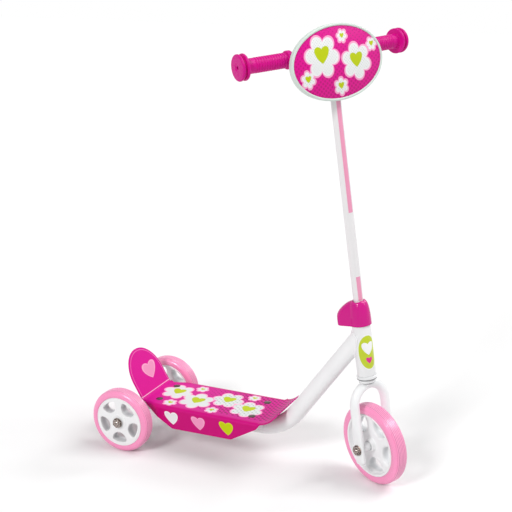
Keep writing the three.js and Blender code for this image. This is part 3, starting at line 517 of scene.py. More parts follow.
class Graph:
    """A node tree under construction."""

    def __init__(self, tree: Tree) -> None:
        """Starts on an empty tree.

        Args:
            tree: The tree to fill.
        """
        self.tree = tree

    def add(self, kind: str, inputs: dict[Any, Any] | None = None, **settings: Any) -> Node:
        """Adds a node.

        Args:
            kind: The node's type.
            inputs: Values or sockets to link, by input name or number.
            **settings: The node's own properties.

        Returns:
            The node.
        """
        node = self.tree.nodes.new(kind)
        for name, value in settings.items():
            setattr(node, name, value)
        for key, value in (inputs or {}).items():
            if isinstance(value, Socket):
                self.tree.links.new(value, node.inputs[key])
            else:
                node.inputs[key].default_value = value
        return node

    def made(self, kind: str, inputs: dict[Any, Any] | None = None, **settings: Any) -> Socket:
        """Adds a node and returns its first output."""
        return self.add(kind, inputs, **settings).outputs[0]

    def math(self, operation: str, *values: Any, clamp: bool = False) -> Socket:
        """Adds a Math node and returns its value."""
        inputs = dict(enumerate(values))
        return self.made("ShaderNodeMath", inputs, operation=operation, use_clamp=clamp)

    def minus(self, first: Any, second: Any) -> Socket:
        """The first value less the second."""
        return self.math("SUBTRACT", first, second)

    def times(self, first: Any, second: Any, clamp: bool = False) -> Socket:
        """The product of two values."""
        return self.math("MULTIPLY", first, second, clamp=clamp)

    def gap(self, first: Any, second: Any) -> Socket:
        """How far apart two values are."""
        return self.math("ABSOLUTE", self.minus(first, second))

    def vector(self, operation: str, *values: Any) -> Socket:
        """Adds a Vector Math node and returns its vector."""
        return self.made("ShaderNodeVectorMath", dict(enumerate(values)), operation=operation)

    def scaled(self, value: Socket, scale: Any) -> Socket:
        """A vector times a number."""
        return self.made("ShaderNodeVectorMath", {0: value, "Scale": scale}, operation="SCALE")

    def length(self, value: Socket) -> Socket:
        """The length of a vector."""
        return self.add("ShaderNodeVectorMath", {0: value}, operation="LENGTH").outputs["Value"]

    def split(self, value: Socket) -> tuple[Socket, ...]:
        """The three parts of a vector."""
        return tuple(self.add("ShaderNodeSeparateXYZ", {0: value}).outputs)

    def joined(self, x: Any = 0.0, y: Any = 0.0, z: Any = 0.0) -> Socket:
        """A vector from three parts."""
        return self.made("ShaderNodeCombineXYZ", {0: x, 1: y, 2: z})

    def within(self, distance: Any, limit: Any, blur: float) -> Socket:
        """A mask that is 1 where a distance is under a limit.

        Args:
            distance: The distance.
            limit: The limit.
            blur: How wide the mask's edge is.

        Returns:
            The mask.
        """
        margin = self.math("DIVIDE", self.minus(limit, distance), blur)
        return self.math("ADD", margin, 0.5, clamp=True)

    def between(self, value: Any, low: float, high: float) -> Socket:
        """A mask that is 1 where a value lies between two limits."""
        return self.within(self.gap(value, (low + high) / 2), (high - low) / 2, 0.5)

    def mixed(self, share: Any, low: Any, high: Any) -> Socket:
        """Mixes two colours.

        Args:
            share: The share of the second colour.
            low: The first colour.
            high: The second colour.

        Returns:
            The mixed colour.
        """
        ends = [end if isinstance(end, Socket) else (*end, 1.0) for end in (low, high)]
        inputs = {0: share, 6: ends[0], 7: ends[1]}
        return self.add("ShaderNodeMix", inputs, data_type="RGBA").outputs[2]

    def group(self, tree: Tree, **inputs: Any) -> Any:
        """Adds a shared group and returns what comes out of it, by name."""
        return self.add("ShaderNodeGroup", inputs, node_tree=tree).outputs

    def closed(self, *values: Socket) -> Tree:
        """Gives the group its outputs, in order, and returns its tree."""
        self.add("NodeGroupOutput", dict(enumerate(values)))
        return self.tree


def opened_group(
    name: str, inputs: dict[str, str], outputs: dict[str, str], kind: str = "ShaderNodeTree"
) -> tuple[Graph, Any]:
    """Starts a node group with named sockets.

    Args:
        name: The group's name.
        inputs: Socket type by input name.
        outputs: Socket type by output name.
        kind: The type of tree.

    Returns:
        The group under construction and what comes into it, by name.
    """
    tree = bpy.data.node_groups.new(name, kind)
    for way, sockets in (("INPUT", inputs), ("OUTPUT", outputs)):
        for label, socket in sockets.items():
            tree.interface.new_socket(label, in_out=way, socket_type=socket)
    graph = Graph(tree)
    return graph, graph.add("NodeGroupInput").outputs


class Effects:
    """Shader node groups that more than one finish uses."""

    def __init__(self) -> None:
        """Builds every group once."""
        self.grain = self._grain()
        self.dots = self._dots()
        self.heart = self._heart()
        self.flower = self._flower()

    @staticmethod
    def _grain() -> Tree:
        """Fine surface unevenness: a height, and a slow drift of tone.

        Returns:
            The group.
        """
        inputs, outputs = {"Point": VECTOR, "Size": FLOAT}, {"Height": FLOAT, "Drift": FLOAT}
        graph, given = opened_group("surface_grain", inputs, outputs)
        near = graph.scaled(given["Point"], graph.math("DIVIDE", 1.0, given["Size"]))
        noise = "ShaderNodeTexNoise"
        fine = graph.made(noise, {"Vector": near, "Scale": 1.0, "Detail": 3.0})
        slow = graph.made(noise, {"Vector": given["Point"], "Scale": 0.03, "Detail": 2.0})
        return graph.closed(fine, slow)

    @staticmethod
    def _dots() -> Tree:
        """Staggered printed dots on the X and Y of a point.

        Returns:
            The group.
        """
        inputs = {"Point": VECTOR, "Pitch": FLOAT, "Rise": FLOAT, "Radius": FLOAT}
        graph, given = opened_group("staggered_dots", inputs, {"Mask": FLOAT})
        x, y, _ = graph.split(given["Point"])
        distances = []
        for stagger in (0.0, 0.5):
            parts = []
            for value, pitch in ((x, given["Pitch"]), (y, given["Rise"])):
                place = graph.math("ADD", graph.math("DIVIDE", value, pitch), stagger)
                off = graph.minus(graph.math("FRACT", place), 0.5)
                parts.append(graph.times(off, pitch))
            distances.append(graph.length(graph.joined(*parts)))
        nearest = graph.math("MINIMUM", *distances)
        return graph.closed(graph.within(nearest, given["Radius"], 0.35))

    @staticmethod
    def _heart() -> Tree:
        """A plain plump heart, and its middle without the rim.

        Returns:
            The group.
        """
        inputs = {"Point": VECTOR, "Centre": VECTOR, "Size": FLOAT, "Width": FLOAT, "Lean": FLOAT}
        graph, given = opened_group("plain_heart", inputs, {"Mask": FLOAT, "Core": FLOAT})
        x, y, _ = graph.split(graph.vector("SUBTRACT", given["Point"], given["Centre"]))
        upward = graph.math("DIVIDE", y, given["Size"])
        sideways = graph.math("DIVIDE", x, given["Size"])
        upright = graph.minus(sideways, graph.times(upward, given["Lean"]))
        across = graph.math("ABSOLUTE", graph.math("DIVIDE", upright, given["Width"]))
        sharpness = graph.math("MULTIPLY_ADD", graph.math("GREATER_THAN", upward, 0.45), -0.3, 0.95)
        raised = graph.minus(upward, graph.times(graph.math("POWER", across, sharpness), 0.82))
        reach = graph.length(graph.joined(across, raised))
        return graph.closed(graph.within(reach, 1.0, 0.05), graph.within(reach, 0.84, 0.05))

    @staticmethod
    def _flower() -> Tree:
        """How far a point lies outside a round-petalled flower.

        Returns:
            The group.
        """
        inputs = {"Point": VECTOR, "Centre": VECTOR}
        inputs |= {name: FLOAT for name in ("Radius", "Petals", "Depth", "Turn")}
        graph, given = opened_group("round_flower", inputs, {"Distance": FLOAT})
        x, y, _ = graph.split(graph.vector("SUBTRACT", given["Point"], given["Centre"]))
        angle = graph.math("ADD", graph.math("ARCTAN2", y, x), given["Turn"])
        half = graph.times(angle, graph.math("DIVIDE", given["Petals"], 2.0))
        lobe = graph.math("POWER", graph.math("ABSOLUTE", graph.math("COSINE", half)), 0.7)
        drop = graph.times(graph.minus(1.0, lobe), given["Depth"])
        reach = graph.times(given["Radius"], graph.minus(1.0, drop))
        return graph.closed(graph.minus(graph.length(graph.joined(x, y)), reach))


# Finishes


COAT_ROUGHNESS = 0.12
RELIEF = 0.4 * MM


class Paint:
    """A print, a change of tone or painted shade in a finish."""

    def __call__(self, graph: Graph, point: Any, colour: Colour) -> Any:
        """Adds the print, the tone or the painted shade to a finish.

        Args:
            graph: The finish's nodes.
            point: The point on the piece, in its local millimetres.
            colour: The plain colour.

        Returns:
            The printed colour.
        """
        raise NotImplementedError


@dataclass(frozen=True)
class Finish:
    """A coloured finish.

    The grain is the size of its unevenness in millimetres, the bump how strongly that shows, the
    drift how far its tone drifts, and the dark reflection patch the colour of dark painted
    reflections.
    """

    name: str
    colour: Colour
    roughness: float = 0.4
    metallic: float = 0.0
    coat: float = 0.0
    specular: float = 0.5
    grain: float = 0.8
    bump: float = 0.05
    drift: float = 0.03
    fleck: Colour | None = None

    def shader(self, effects: Effects, paint: Paint | None = None) -> Material:
        """Builds the material.

        Args:
            effects: The shared node groups.
            paint: Its print, tone or painted shade, if it has one.

        Returns:
            The material.
        """
        material = bpy.data.materials.new(self.name)
        material.use_nodes = True
        material.node_tree.nodes.clear()
        graph = Graph(material.node_tree)
        point = graph.add("ShaderNodeAttribute", attribute_name=LOCAL).outputs["Vector"]
        if paint is None:
            point = graph.scaled(graph.add("ShaderNodeTexCoord").outputs["Object"], 1 / MM)
        grain = graph.group(effects.grain, Point=point, Size=self.grain)
        height, drift = grain["Height"], grain["Drift"]
        tone = graph.math("MULTIPLY_ADD", drift, -2 * self.drift, 1 + self.drift)
        plain = paint(graph, point, self.colour) if paint else self.colour
        # Painted reflections: dark patches over the metal stand in for dark surroundings it would
        # mirror.
        if self.fleck is not None:
            share = graph.math("MULTIPLY_ADD", height, 7.0, -3.2, clamp=True)
            plain = graph.mixed(share, self.colour, self.fleck)
        rough = graph.math("MULTIPLY_ADD", height, 0.12, self.roughness - 0.06, clamp=True)
        relief = {"Strength": self.bump, "Distance": RELIEF, "Height": height}
        inputs = {
            "Base Color": graph.scaled(plain, tone),
            "Roughness": rough,
            "Metallic": self.metallic,
            "Specular IOR Level": self.specular,
            "Coat Weight": self.coat,
            "Coat Roughness": COAT_ROUGHNESS,
            "Normal": graph.made("ShaderNodeBump", relief),
        }
        body = graph.made("ShaderNodeBsdfPrincipled", inputs)
        graph.add("ShaderNodeOutputMaterial", {0: body})
        return material


# From shapes to pieces


def linked(name: str, mesh: Mesh) -> Object:
    """An object in the scene that holds a mesh.

    Args:
        name: Its name.
        mesh: The mesh.

    Returns:
        The object.
    """
    holder = bpy.data.objects.new(name, mesh)
    bpy.context.scene.collection.objects.link(holder)
    return holder


def unlinked(holder: Object) -> None:
    """Removes an object and its mesh.

    Args:
        holder: The object.
    """
    mesh = holder.data
    bpy.data.objects.remove(holder)
    bpy.data.meshes.remove(mesh)


def modify(holder: Object, kind: str, values: dict[str, Any]) -> None:
    """Adds a modifier with its values by name."""
    step = holder.modifiers.new(kind, kind)
    for name, value in values.items():
        setattr(step, name, value)


def evaluated(mesh: Mesh, *steps: tuple[str, dict[str, Any]]) -> Mesh:
    """Runs modifiers on a mesh and gives the plain result.

    Args:
        mesh: The mesh, which is removed.
        *steps: The modifiers in order, each a type and its values by name.

    Returns:
        The plain mesh.
    """
    holder = linked("holder", mesh)
    for kind, values in steps:
        modify(holder, kind, values)
    return plain_mesh(holder)


def plain_mesh(holder: Object) -> Mesh:
    """Applies an object's modifiers, gives the mesh and removes the object.

    Args:
        holder: The object.

    Returns:
        The plain mesh.
    """
    bpy.context.view_layer.update()
    graph = bpy.context.evaluated_depsgraph_get()
    result = bpy.data.meshes.new_from_object(holder.evaluated_get(graph), depsgraph=graph)
    unlinked(holder)
    return result


def grown(mesh: Mesh, tree: Tree, **inputs: Any) -> Mesh:
    """Runs a Geometry Nodes tree on a mesh and gives the plain result.

    Args:
        mesh: The mesh, which is removed.
        tree: The tree.
        **inputs: The tree's values by name.

    Returns:
        The plain mesh.
    """
    holder = linked("holder", mesh)
    step = holder.modifiers.new(tree.name, "NODES")
    step.node_group = tree
    for item in tree.interface.items_tree:
        if item.in_out == "INPUT" and item.name in inputs:
            step[item.identifier] = inputs[item.name]
    return plain_mesh(holder)


def eased_edge(width: float, segments: int, degrees: float) -> tuple[str, dict[str, Any]]:
    """The modifier that rounds edges sharper than an angle.

    Args:
        width: The bevel's width.
        segments: How many steps it has.
        degrees: The angle.

    Returns:
        The modifier's type and values.
    """
    angle = radians(degrees)
    values = {"width": width, "segments": segments, "angle_limit": angle}
    return "BEVEL", {**values, "limit_method": "ANGLE"}


def bevelled(mesh: Mesh, width: float, segments: int = 3, angle: float = 40) -> Mesh:
    """Rounds a mesh's sharp edges.

    Args:
        mesh: The mesh.
        width: The bevel's width in millimetres.
        segments: How many steps it has.
        angle: How sharp an edge is before it is rounded, in degrees.

    Returns:
        The rounded mesh.
    """
    return evaluated(mesh, eased_edge(width, segments, angle))


class Boolean(Enum):
    """How one solid is combined with another."""

    JOIN = "UNION"
    CUT = "DIFFERENCE"
    COMMON = "INTERSECT"


def combined(mesh: Mesh, *others: tuple[Boolean, Mesh]) -> Mesh:
    """Combines a solid with others, in order.

    Args:
        mesh: The solid to start with.
        *others: How each other solid is combined; these are removed.

    Returns:
        The combined mesh.
    """
    for how, other in others:
        tool = linked("tool", other)
        values = {"operation": how.value, "object": tool, "solver": "EXACT"}
        mesh = evaluated(mesh, ("BOOLEAN", values))
        unlinked(tool)
    return mesh


def geometry_group(name: str, inputs: dict[str, str]) -> tuple[Graph, Any]:
    """Starts a Geometry Nodes tree that takes a geometry, a finish and inputs of its own.

    Args:
        name: The tree's name.
        inputs: Socket type by input name.

    Returns:
        The tree under construction and what comes into it, by name.
    """
    takes = {"Geometry": GEOMETRY, **inputs, "Material": "NodeSocketMaterial"}
    return opened_group(name, takes, {"Geometry": GEOMETRY}, "GeometryNodeTree")


@dataclass(frozen=True)
class Copies:
    """A Geometry Nodes tree that sets a part on points, each with its own turn."""

    tree: Tree

    @classmethod
    def build(cls) -> "Copies":
        """Builds the tree.

        Returns:
            The tool that holds it.
        """
        graph, given = geometry_group(
            "part_on_points", {"Part": "NodeSocketObject", "Weld": FLOAT}
        )
        part = graph.add("GeometryNodeObjectInfo", {"Object": given["Part"]})
        turn = graph.made(
            "GeometryNodeInputNamedAttribute", {"Name": "turn"}, data_type="FLOAT_VECTOR"
        )
        inputs = {
            "Points": given["Geometry"],
            "Instance": part.outputs["Geometry"],
            "Rotation": graph.made("FunctionNodeEulerToRotation", {0: turn}),
        }
        placed = graph.made("GeometryNodeInstanceOnPoints", inputs)
        real = graph.made("GeometryNodeRealizeInstances", {0: placed})
        welded = graph.made("GeometryNodeMergeByDistance", {0: real, "Distance": given["Weld"]})
        finish = {0: welded, "Material": given["Material"]}
        return cls(graph.closed(graph.made("GeometryNodeSetMaterial", finish)))

    def make(
        self,
        part: Mesh,
        places: Sequence[tuple[Triple, Triple]],
        material: Material,
        weld: float = 0.002,
    ) -> Mesh:
        """Repeats a part.

        Args:
            part: The part's mesh, which is removed.
            places: Each copy's place and its turn as Euler angles.
            material: The finish.
            weld: How close points are merged, in millimetres.

        Returns:
            The plain mesh of all copies.
        """
        holder = linked("part", part)
        points = bpy.data.meshes.new("points")
        points.from_pydata([place for place, _ in places], [], [])
        turns = points.attributes.new("turn", "FLOAT_VECTOR", "POINT")
        turns.data.foreach_set("vector", [value for _, turn in places for value in turn])
        result = grown(points, self.tree, Part=holder, Weld=weld, Material=material)
        unlinked(holder)
        return result


@dataclass(frozen=True)
class WeldBead:
    """A Geometry Nodes tree that runs an uneven weld along a line of points."""

    tree: Tree
    ripple: float = 0.9

    @classmethod
    def build(cls) -> "WeldBead":
        """Builds the tree.

        Returns:
            The tool that holds it.
        """
        graph, given = geometry_group("weld_bead", {"Radius": FLOAT, "Ripple": FLOAT})
        line = graph.made("GeometryNodeMeshToCurve", {0: given["Geometry"]})
        even = graph.made("GeometryNodeResampleCurve", {"Curve": line, "Count": 160})
        uneven = graph.made("ShaderNodeTexNoise", {"Scale": given["Ripple"], "Detail": 1.0})
        radius = graph.times(graph.math("MULTIPLY_ADD", uneven, 0.5, 0.75), given["Radius"])
        ring = graph.made("GeometryNodeCurvePrimitiveCircle", {"Resolution": 12, "Radius": 1.0})
        inputs = {"Curve": even, "Profile Curve": ring, "Scale": radius}
        body = graph.made("GeometryNodeCurveToMesh", inputs)
        real = graph.made("GeometryNodeRealizeInstances", {0: body})
        finish = {0: real, "Material": given["Material"]}
        return cls(graph.closed(graph.made("GeometryNodeSetMaterial", finish)))

    def make(
        self, line: Sequence[Vector], radius: float, material: Material, closed: bool = True
    ) -> Mesh:
        """Runs a weld along a line.

        Args:
            line: The line's points, in local millimetres.
            radius: The weld's radius.
            material: The finish.
            closed: Whether the line's end meets its start.

        Returns:
            The weld's plain mesh.
        """
        mesh = bpy.data.meshes.new("line")
        count = len(line)
        pairs = [(i, (i + 1) % count) for i in range(count if closed else count - 1)]
        mesh.from_pydata([tuple(point) for point in line], pairs, [])
        return grown(mesh, self.tree, Radius=radius, Ripple=self.ripple, Material=material)


@dataclass(frozen=True)
class Palette:
    """Every finish of the scooter."""

    tyre: Material
    moulding: Material
    plate: Material
    paint: Material
    fork: Material
    bar: Material
    head: Material
    stem: Material
    deck: Material
    cover: Material
    grip: Material
    panel: Material
    nylon: Material
    cup: Material
    dark_ring: Material
    zinc: Material
    bolt: Material
    nut: Material


@dataclass(frozen=True)
class Workshop:
    """The tools and finishes that every sub-assembly is made with."""

    datum: Datum
    effects: Effects
    palette: Palette
    copies: Copies
    weld: WeldBead


# Wheels


def sheet(rows: Sequence[Sequence[Vector]]) -> Shape:
    """Joins open rows of points, each with as many as the next.

    Args:
        rows: The rows.

    Returns:
        The open sheet.
    """
    count = len(rows[0])
    faces = [
        (row * count + i, row * count + i + 1, (row + 1) * count + i + 1, (row + 1) * count + i)
        for row in range(len(rows) - 1)
        for i in range(count - 1)
    ]
    return Shape([point for row in rows for point in row], faces)


def arc(radius: float, start: float, end: float, steps: int, middle: float = 0.0) -> list[Vector]:
    """Flat points [x, z] round a middle on the Z axis, by angles from +Z."""
    return [Vector((radius * sin(a), middle + radius * cos(a))) for a in spread(start, end, steps)]


def mirrored(right: Sequence[Vector]) -> list[Vector]:
    """A closed outline from its right half, whose ends lie on the middle."""
    return [*right, *(Vector((-point.x, point.y)) for point in reversed(right[1:-1]))]


@dataclass(frozen=True)
class Wheel:
    """A soft tyre on a moulded rim with five openings, turning on two flanged bushes."""

    radius: float
    rim_radius: float
    opening_degrees: float
    width: float = 26.0
    shoulder: float = 8.2
    ring_lines: tuple[float, ...] = (1.4, 4.4, 7.4, 10.2)
    ring_line_depth: float = 0.75
    ring_line_width: float = 0.55
    lip: float = 3.5
    dish: float = 7.0
    hub_radius: float = 13.5
    hub_proud: float = 1.5
    boss_radius: float = 10.5
    bore: float = 6.5
    openings: int = 5
    opening_margin: float = 3.3
    opening_inner_share: float = 0.485
    opening_round_share: float = 0.34
    opening_corner: float = 3.0
    face_edge: float = 1.3
    dish_edge: float = 4.2
    ring_web: float = 1.4
    hub_web: float = 1.6
    boss_web: float = 5.2
    bush_radius: float = 8.5
    bush_flange: float = 1.2
    bush_gap: float = 0.3
    sleeve_length: float = 8.0
    axle_bore: float = 4.5

    @property
    def ring(self) -> float:
        """The inner radius of the rim's outer ring."""
        return self.rim_radius - self.lip

    def tyre(self) -> Shape:
        """The tyre, with fine lines moulded round its tread and shoulders.

        Returns:
            The shape.
        """
        half = self.width / 2
        bore, flank = self.rim_radius + 0.3, self.radius - self.shoulder
        crown = half - self.shoulder
        end = crown + self.shoulder * QUARTER
        profile = [(bore, -half + 0.6), (bore + 0.6, -half)]
        for way in spread(-end, end, 150):
            angle = max(abs(way) - crown, 0.0) / self.shoulder
            offs = [(abs(way) - line) / self.ring_line_width for line in self.ring_lines]
            dip = sum(exp(-(off**2)) for off in offs)
            reach = self.shoulder - self.ring_line_depth * dip
            height = min(abs(way), crown) + reach * sin(angle)
            profile.append((flank + reach * cos(angle), copysign(height, way)))
        profile += [(bore + 0.6, half), (bore, half - 0.6)]
        return turned(profile, 144)

    def opening_outline(self) -> list[Vector]:
        """The outline of one opening about +Z: an arc, two corners and a round side to the hub.

        Returns:
            Points [x, z] from the arc's middle round to the right.
        """
        outer = self.ring - self.opening_margin
        bulge = self.ring * self.opening_round_share
        middle = self.ring * self.opening_inner_share + bulge
        up = (outer**2 - bulge**2 + middle**2) / (2 * middle)
        corner = Vector((sqrt(outer**2 - up**2), up))
        arc_end = atan2(corner.x, up) - self.opening_corner / outer
        start = atan2(corner.x, up - middle) + self.opening_corner / bulge
        top = arc(outer, 0, arc_end, 6)
        side = arc(bulge, start, pi, 12, middle)
        bend = []
        for t in (0.25, 0.5, 0.75):
            bend.append(top[-1] * (1 - t) ** 2 + corner * 2 * t * (1 - t) + side[0] * t**2)
        right = top + bend + side
        return mirrored(right)

    def sector_border(self, ring: float, hub: float) -> list[Vector]:
        """The border of one fifth of the rim's web, in step with the opening's points.

        Args:
            ring: Its outer radius.
            hub: Its inner radius.

        Returns:
            Points [x, z].
        """
        edge = pi / self.openings
        arm = Vector((sin(edge), cos(edge)))
        right = arc(ring, 0, edge, 8)
        right += [arm * radius for radius in spread(ring, hub, 8)[1:]]
        right += arc(hub, edge, 0, 6)[1:]
        return mirrored(right)

    def sector(self) -> Shape:
        """One fifth of the rim, round one opening.

        Returns:
            The shape.
        """
        half, floor = self.width / 2, self.dish - self.width / 2
        outline = self.opening_outline()
        count = len(outline)
        normals = []
        for i in range(count):
            along = outline[(i + 1) % count] - outline[i - 1]
            normals.append(Vector((-along.y, along.x)).normalized())
        face = self.sector_border(self.ring, self.hub_radius + self.hub_web)
        back = self.sector_border(self.ring - self.ring_web, self.boss_radius + self.boss_web)

        def row(
            border: Sequence[Vector], width: float, share: float, height: float
        ) -> list[Vector]:
            """The opening's outline, widened by a share of an edge's width.

            Args:
                border: The border beyond the row.
                width: The edge's width.
                share: The share of it.
                height: The row's height.

            Returns:
                The row's points.
            """
            points = []
            for point, normal, limit in zip(outline, normals, border):
                reach = min(width, 0.8 * (limit - point).length) * share
                moved = point + normal * reach
                points.append(Vector((moved.x, height, moved.y)))
            return points

        rows = [[Vector((point.x, half, point.y)) for point in face]]
        for angle in spread(QUARTER, 0, 5):
            drop = self.face_edge * (1 - sin(angle))
            rows.append(row(face, self.face_edge, 1 - cos(angle), half - drop))
        depth = self.dish_edge * 0.85
        rows.append(row(face, 0, 0, (half + floor) / 2))
        for angle in spread(0, QUARTER, 7):
            drop = depth * (1 - sin(angle))
            rows.append(row(back, self.dish_edge, 1 - cos(angle), floor + drop))
        rows.append([Vector((point.x, floor, point.y)) for point in back])
        web = lofted(rows, capped=False)

        rim = softened(
            [
                (self.ring, half),
                (self.ring + 0.7, half),
                (self.ring + 0.95, half - 0.35),
                (self.ring + 1.2, half),
                (self.rim_radius, half, 0.6),
                (self.rim_radius, -half, 0.6),
                (self.ring, -half, 0.7),
                (self.ring - 0.2, floor, 1.1),
                (self.ring - self.ring_web, floor),
            ],
            closed=False,
        )
        boss = softened(
            [
                (self.hub_radius + self.hub_web, half),
                (self.hub_radius + 0.9, half, 0.5),
                (self.hub_radius, half + self.hub_proud, 0.6),
                (self.bore, half + self.hub_proud),
                (self.bore, -half),
                (self.boss_radius, -half, 0.9),
                (self.boss_radius + 0.8, floor, 3.2),
                (self.boss_radius + self.boss_web, floor),
            ],
            closed=False,
        )
        edge = pi / self.openings
        result = web
        for profile, steps in ((rim, 16), (boss, 12)):
            turns = spread(-edge, edge, steps)
            grid = []
            for r, height in profile:
                grid.append([Vector((r * sin(a), height, r * cos(a))) for a in turns])
            result = result + sheet(grid)
        return result

    def bushes(self) -> Shape:
        """The two flanged nylon bushes in the hub.

        Returns:
            The shape.
        """
        outer = self.width / 2 + self.hub_proud + self.bush_gap
        inner = -self.width / 2 - self.bush_gap
        sleeve = self.bore - 0.3
        spans = (
            (self.bush_radius, outer, outer + self.bush_flange),
            (self.bush_radius, inner - self.bush_flange, inner),
            (sleeve, inner, inner + self.sleeve_length),
            (sleeve, outer - self.sleeve_length, outer),
        )
        shape = Shape([], [])
        for radius, low, high in spans:
            shape = shape + turned(tube_profile(radius, self.axle_bore, low, high))
        return shape

    def build(self, shop: Workshop, name: str, home: Home) -> None:
        """Makes the wheel's pieces.

        Args:
            shop: The tools and finishes.
            name: The wheel's name in the CAD model.
            home: Where its middle lies, on the body that turns.
        """
        palette = shop.palette
        home.seat(f"{name}_soft_tyre", self.tyre(), "tyre", palette.tyre, f"{name}_tyre", sharp=60)
        first = QUARTER + radians(self.opening_degrees)
        turns = [first + FULL * i / self.openings for i in range(self.openings)]
        places = [((0.0, 0.0, 0.0), (0.0, turn, 0.0)) for turn in turns]
        rim = shop.copies.make(self.sector().mesh("sector"), places, palette.moulding)
        slot, finish = "white_moulding", palette.moulding
        home.seat(f"{name}_moulded_rim", rim, slot, finish, f"{name}_rim", sharp=50)
        nodes = (f"{name}_bush_outer", f"{name}_bush_inner")
        home.seat(f"{name}_bushes", self.bushes(), "grey_nylon", palette.nylon, *nodes)


# Frame and headset


def rod(radius: float, low: float, high: float, about_y: bool = False, segments: int = 64) -> Mesh:
    """A plain round rod, to cut with."""
    profile = [(0, low), (radius, low), (radius, high), (0, high)]
    return turned(profile, segments, about_y).mesh("rod")


@dataclass(frozen=True)
class Frame:
    """The tube under the deck, bent up to the head tube, and the axle tube across its end."""

    radius: float = 15.0
    wall: float = 2.0
    height: float = 60.0
    bend: float = 90.0
    slope_degrees: float = 54.5
    joint_height: float = 192.84
    head_radius: float = 15.6
    head_wall: float = 1.8
    head_bottom: float = 123.0
    head_top: float = 213.0
    axle_tube_radius: float = 10.0
    axle_tube_bore: float = 8.0
    axle_tube_reach: float = 69.0
    weld: float = 2.1
    axle_weld: float = 1.6

    def stations(self, datum: Datum) -> list[Station]:
        """The tube's centre line from the rear axle to the steering axis.

        Args:
            datum: The frames of reference.

        Returns:
            The stations.
        """
        to_scooter = datum.scooter.place.inverted() @ datum.head.place
        end = to_scooter @ Vector((0, 0, self.joint_height))
        slope = radians(self.slope_degrees)
        corner = Vector((end.x - (end.z - self.height) / tan(slope), 0, self.height))
        return bent_path([Vector((0, 0, self.height)), corner, end], self.bend, 32)

    def head_weld(self, datum: Datum, path: Sequence[Station]) -> list[Vector]:
        """Where the tube's outside meets the head tube.

        Args:
            datum: The frames of reference.
            path: The tube's stations.

        Returns:
            The points.
        """
        to_head = datum.head.place.inverted() @ datum.scooter.place
        end = path[-1]
        side = Vector((0, 1, 0))
        up = end.along.cross(side)
        points = []
        for u, v in circle(1.0, 64):
            start = to_head @ (end.point + (side * u + up * v) * self.radius)
            along = (to_head.to_3x3() @ end.along).normalized()
            flat, heading = start.xy, along.xy
            b, c = flat.dot(heading), flat.length_squared - self.head_radius**2
            a = heading.length_squared
            way = (-b - sqrt(max(b * b - a * c, 0.0))) / a
            points.append(start + along * way)
        return points

    def build(self, shop: Workshop) -> None:
        """Makes the frame's pieces.

        Args:
            shop: The tools and finishes.
        """
        datum, paint = shop.datum, shop.palette.paint
        path = self.stations(datum)
        tube = bent_tube(path, Vector((0, 1, 0)), self.radius, self.wall).mesh("tube")
        mouth = rod(self.head_radius, 80, 260)
        mouth.transform(datum.scooter.place.inverted() @ datum.head.place)
        axle_height = Stance().rear_radius
        seat_cut = rod(self.axle_tube_radius, -40, 40, about_y=True)
        seat_cut.transform(shift(z=axle_height))
        tube = combined(tube, (Boolean.CUT, mouth), (Boolean.CUT, seat_cut))
        datum.scooter.seat("frame_bent_tube", tube, "white_paint", paint, "frame_tube", sharp=50)
        bead = shop.weld.make(self.head_weld(datum, path), self.weld, paint)
        datum.head.seat("frame_head_weld", bead, "white_paint", paint, sharp=80)
        for name, side in (("left", 1), ("right", -1)):
            line = []
            for angle in spread(-QUARTER, QUARTER, 24):
                height = axle_height + self.axle_tube_radius * sin(angle)
                out = sqrt(self.radius**2 - (height - self.height) ** 2)
                line.append(Vector((self.axle_tube_radius * cos(angle), side * out, height)))
            bead = shop.weld.make(line, self.axle_weld, paint, closed=False)
            datum.scooter.seat(f"axle_tube_weld_{name}", bead, "white_paint", paint, sharp=80)
        reach = self.axle_tube_reach
        axle = turned(tube_profile(self.axle_tube_radius, self.axle_tube_bore, -reach, reach))
        axle = axle.moved(shift(z=axle_height))
        datum.scooter.seat("axle_tube", axle, "white_paint", paint, "rear_axle_tube")
        bore = self.head_radius - self.head_wall
        line = tube_profile(self.head_radius, bore, self.head_bottom, self.head_top, 0.5)
        head = turned(line, 96, about_y=False)
        finish = shop.palette.head
        datum.head.seat("steering_head_tube", head, "white_paint", finish, "head_tube")


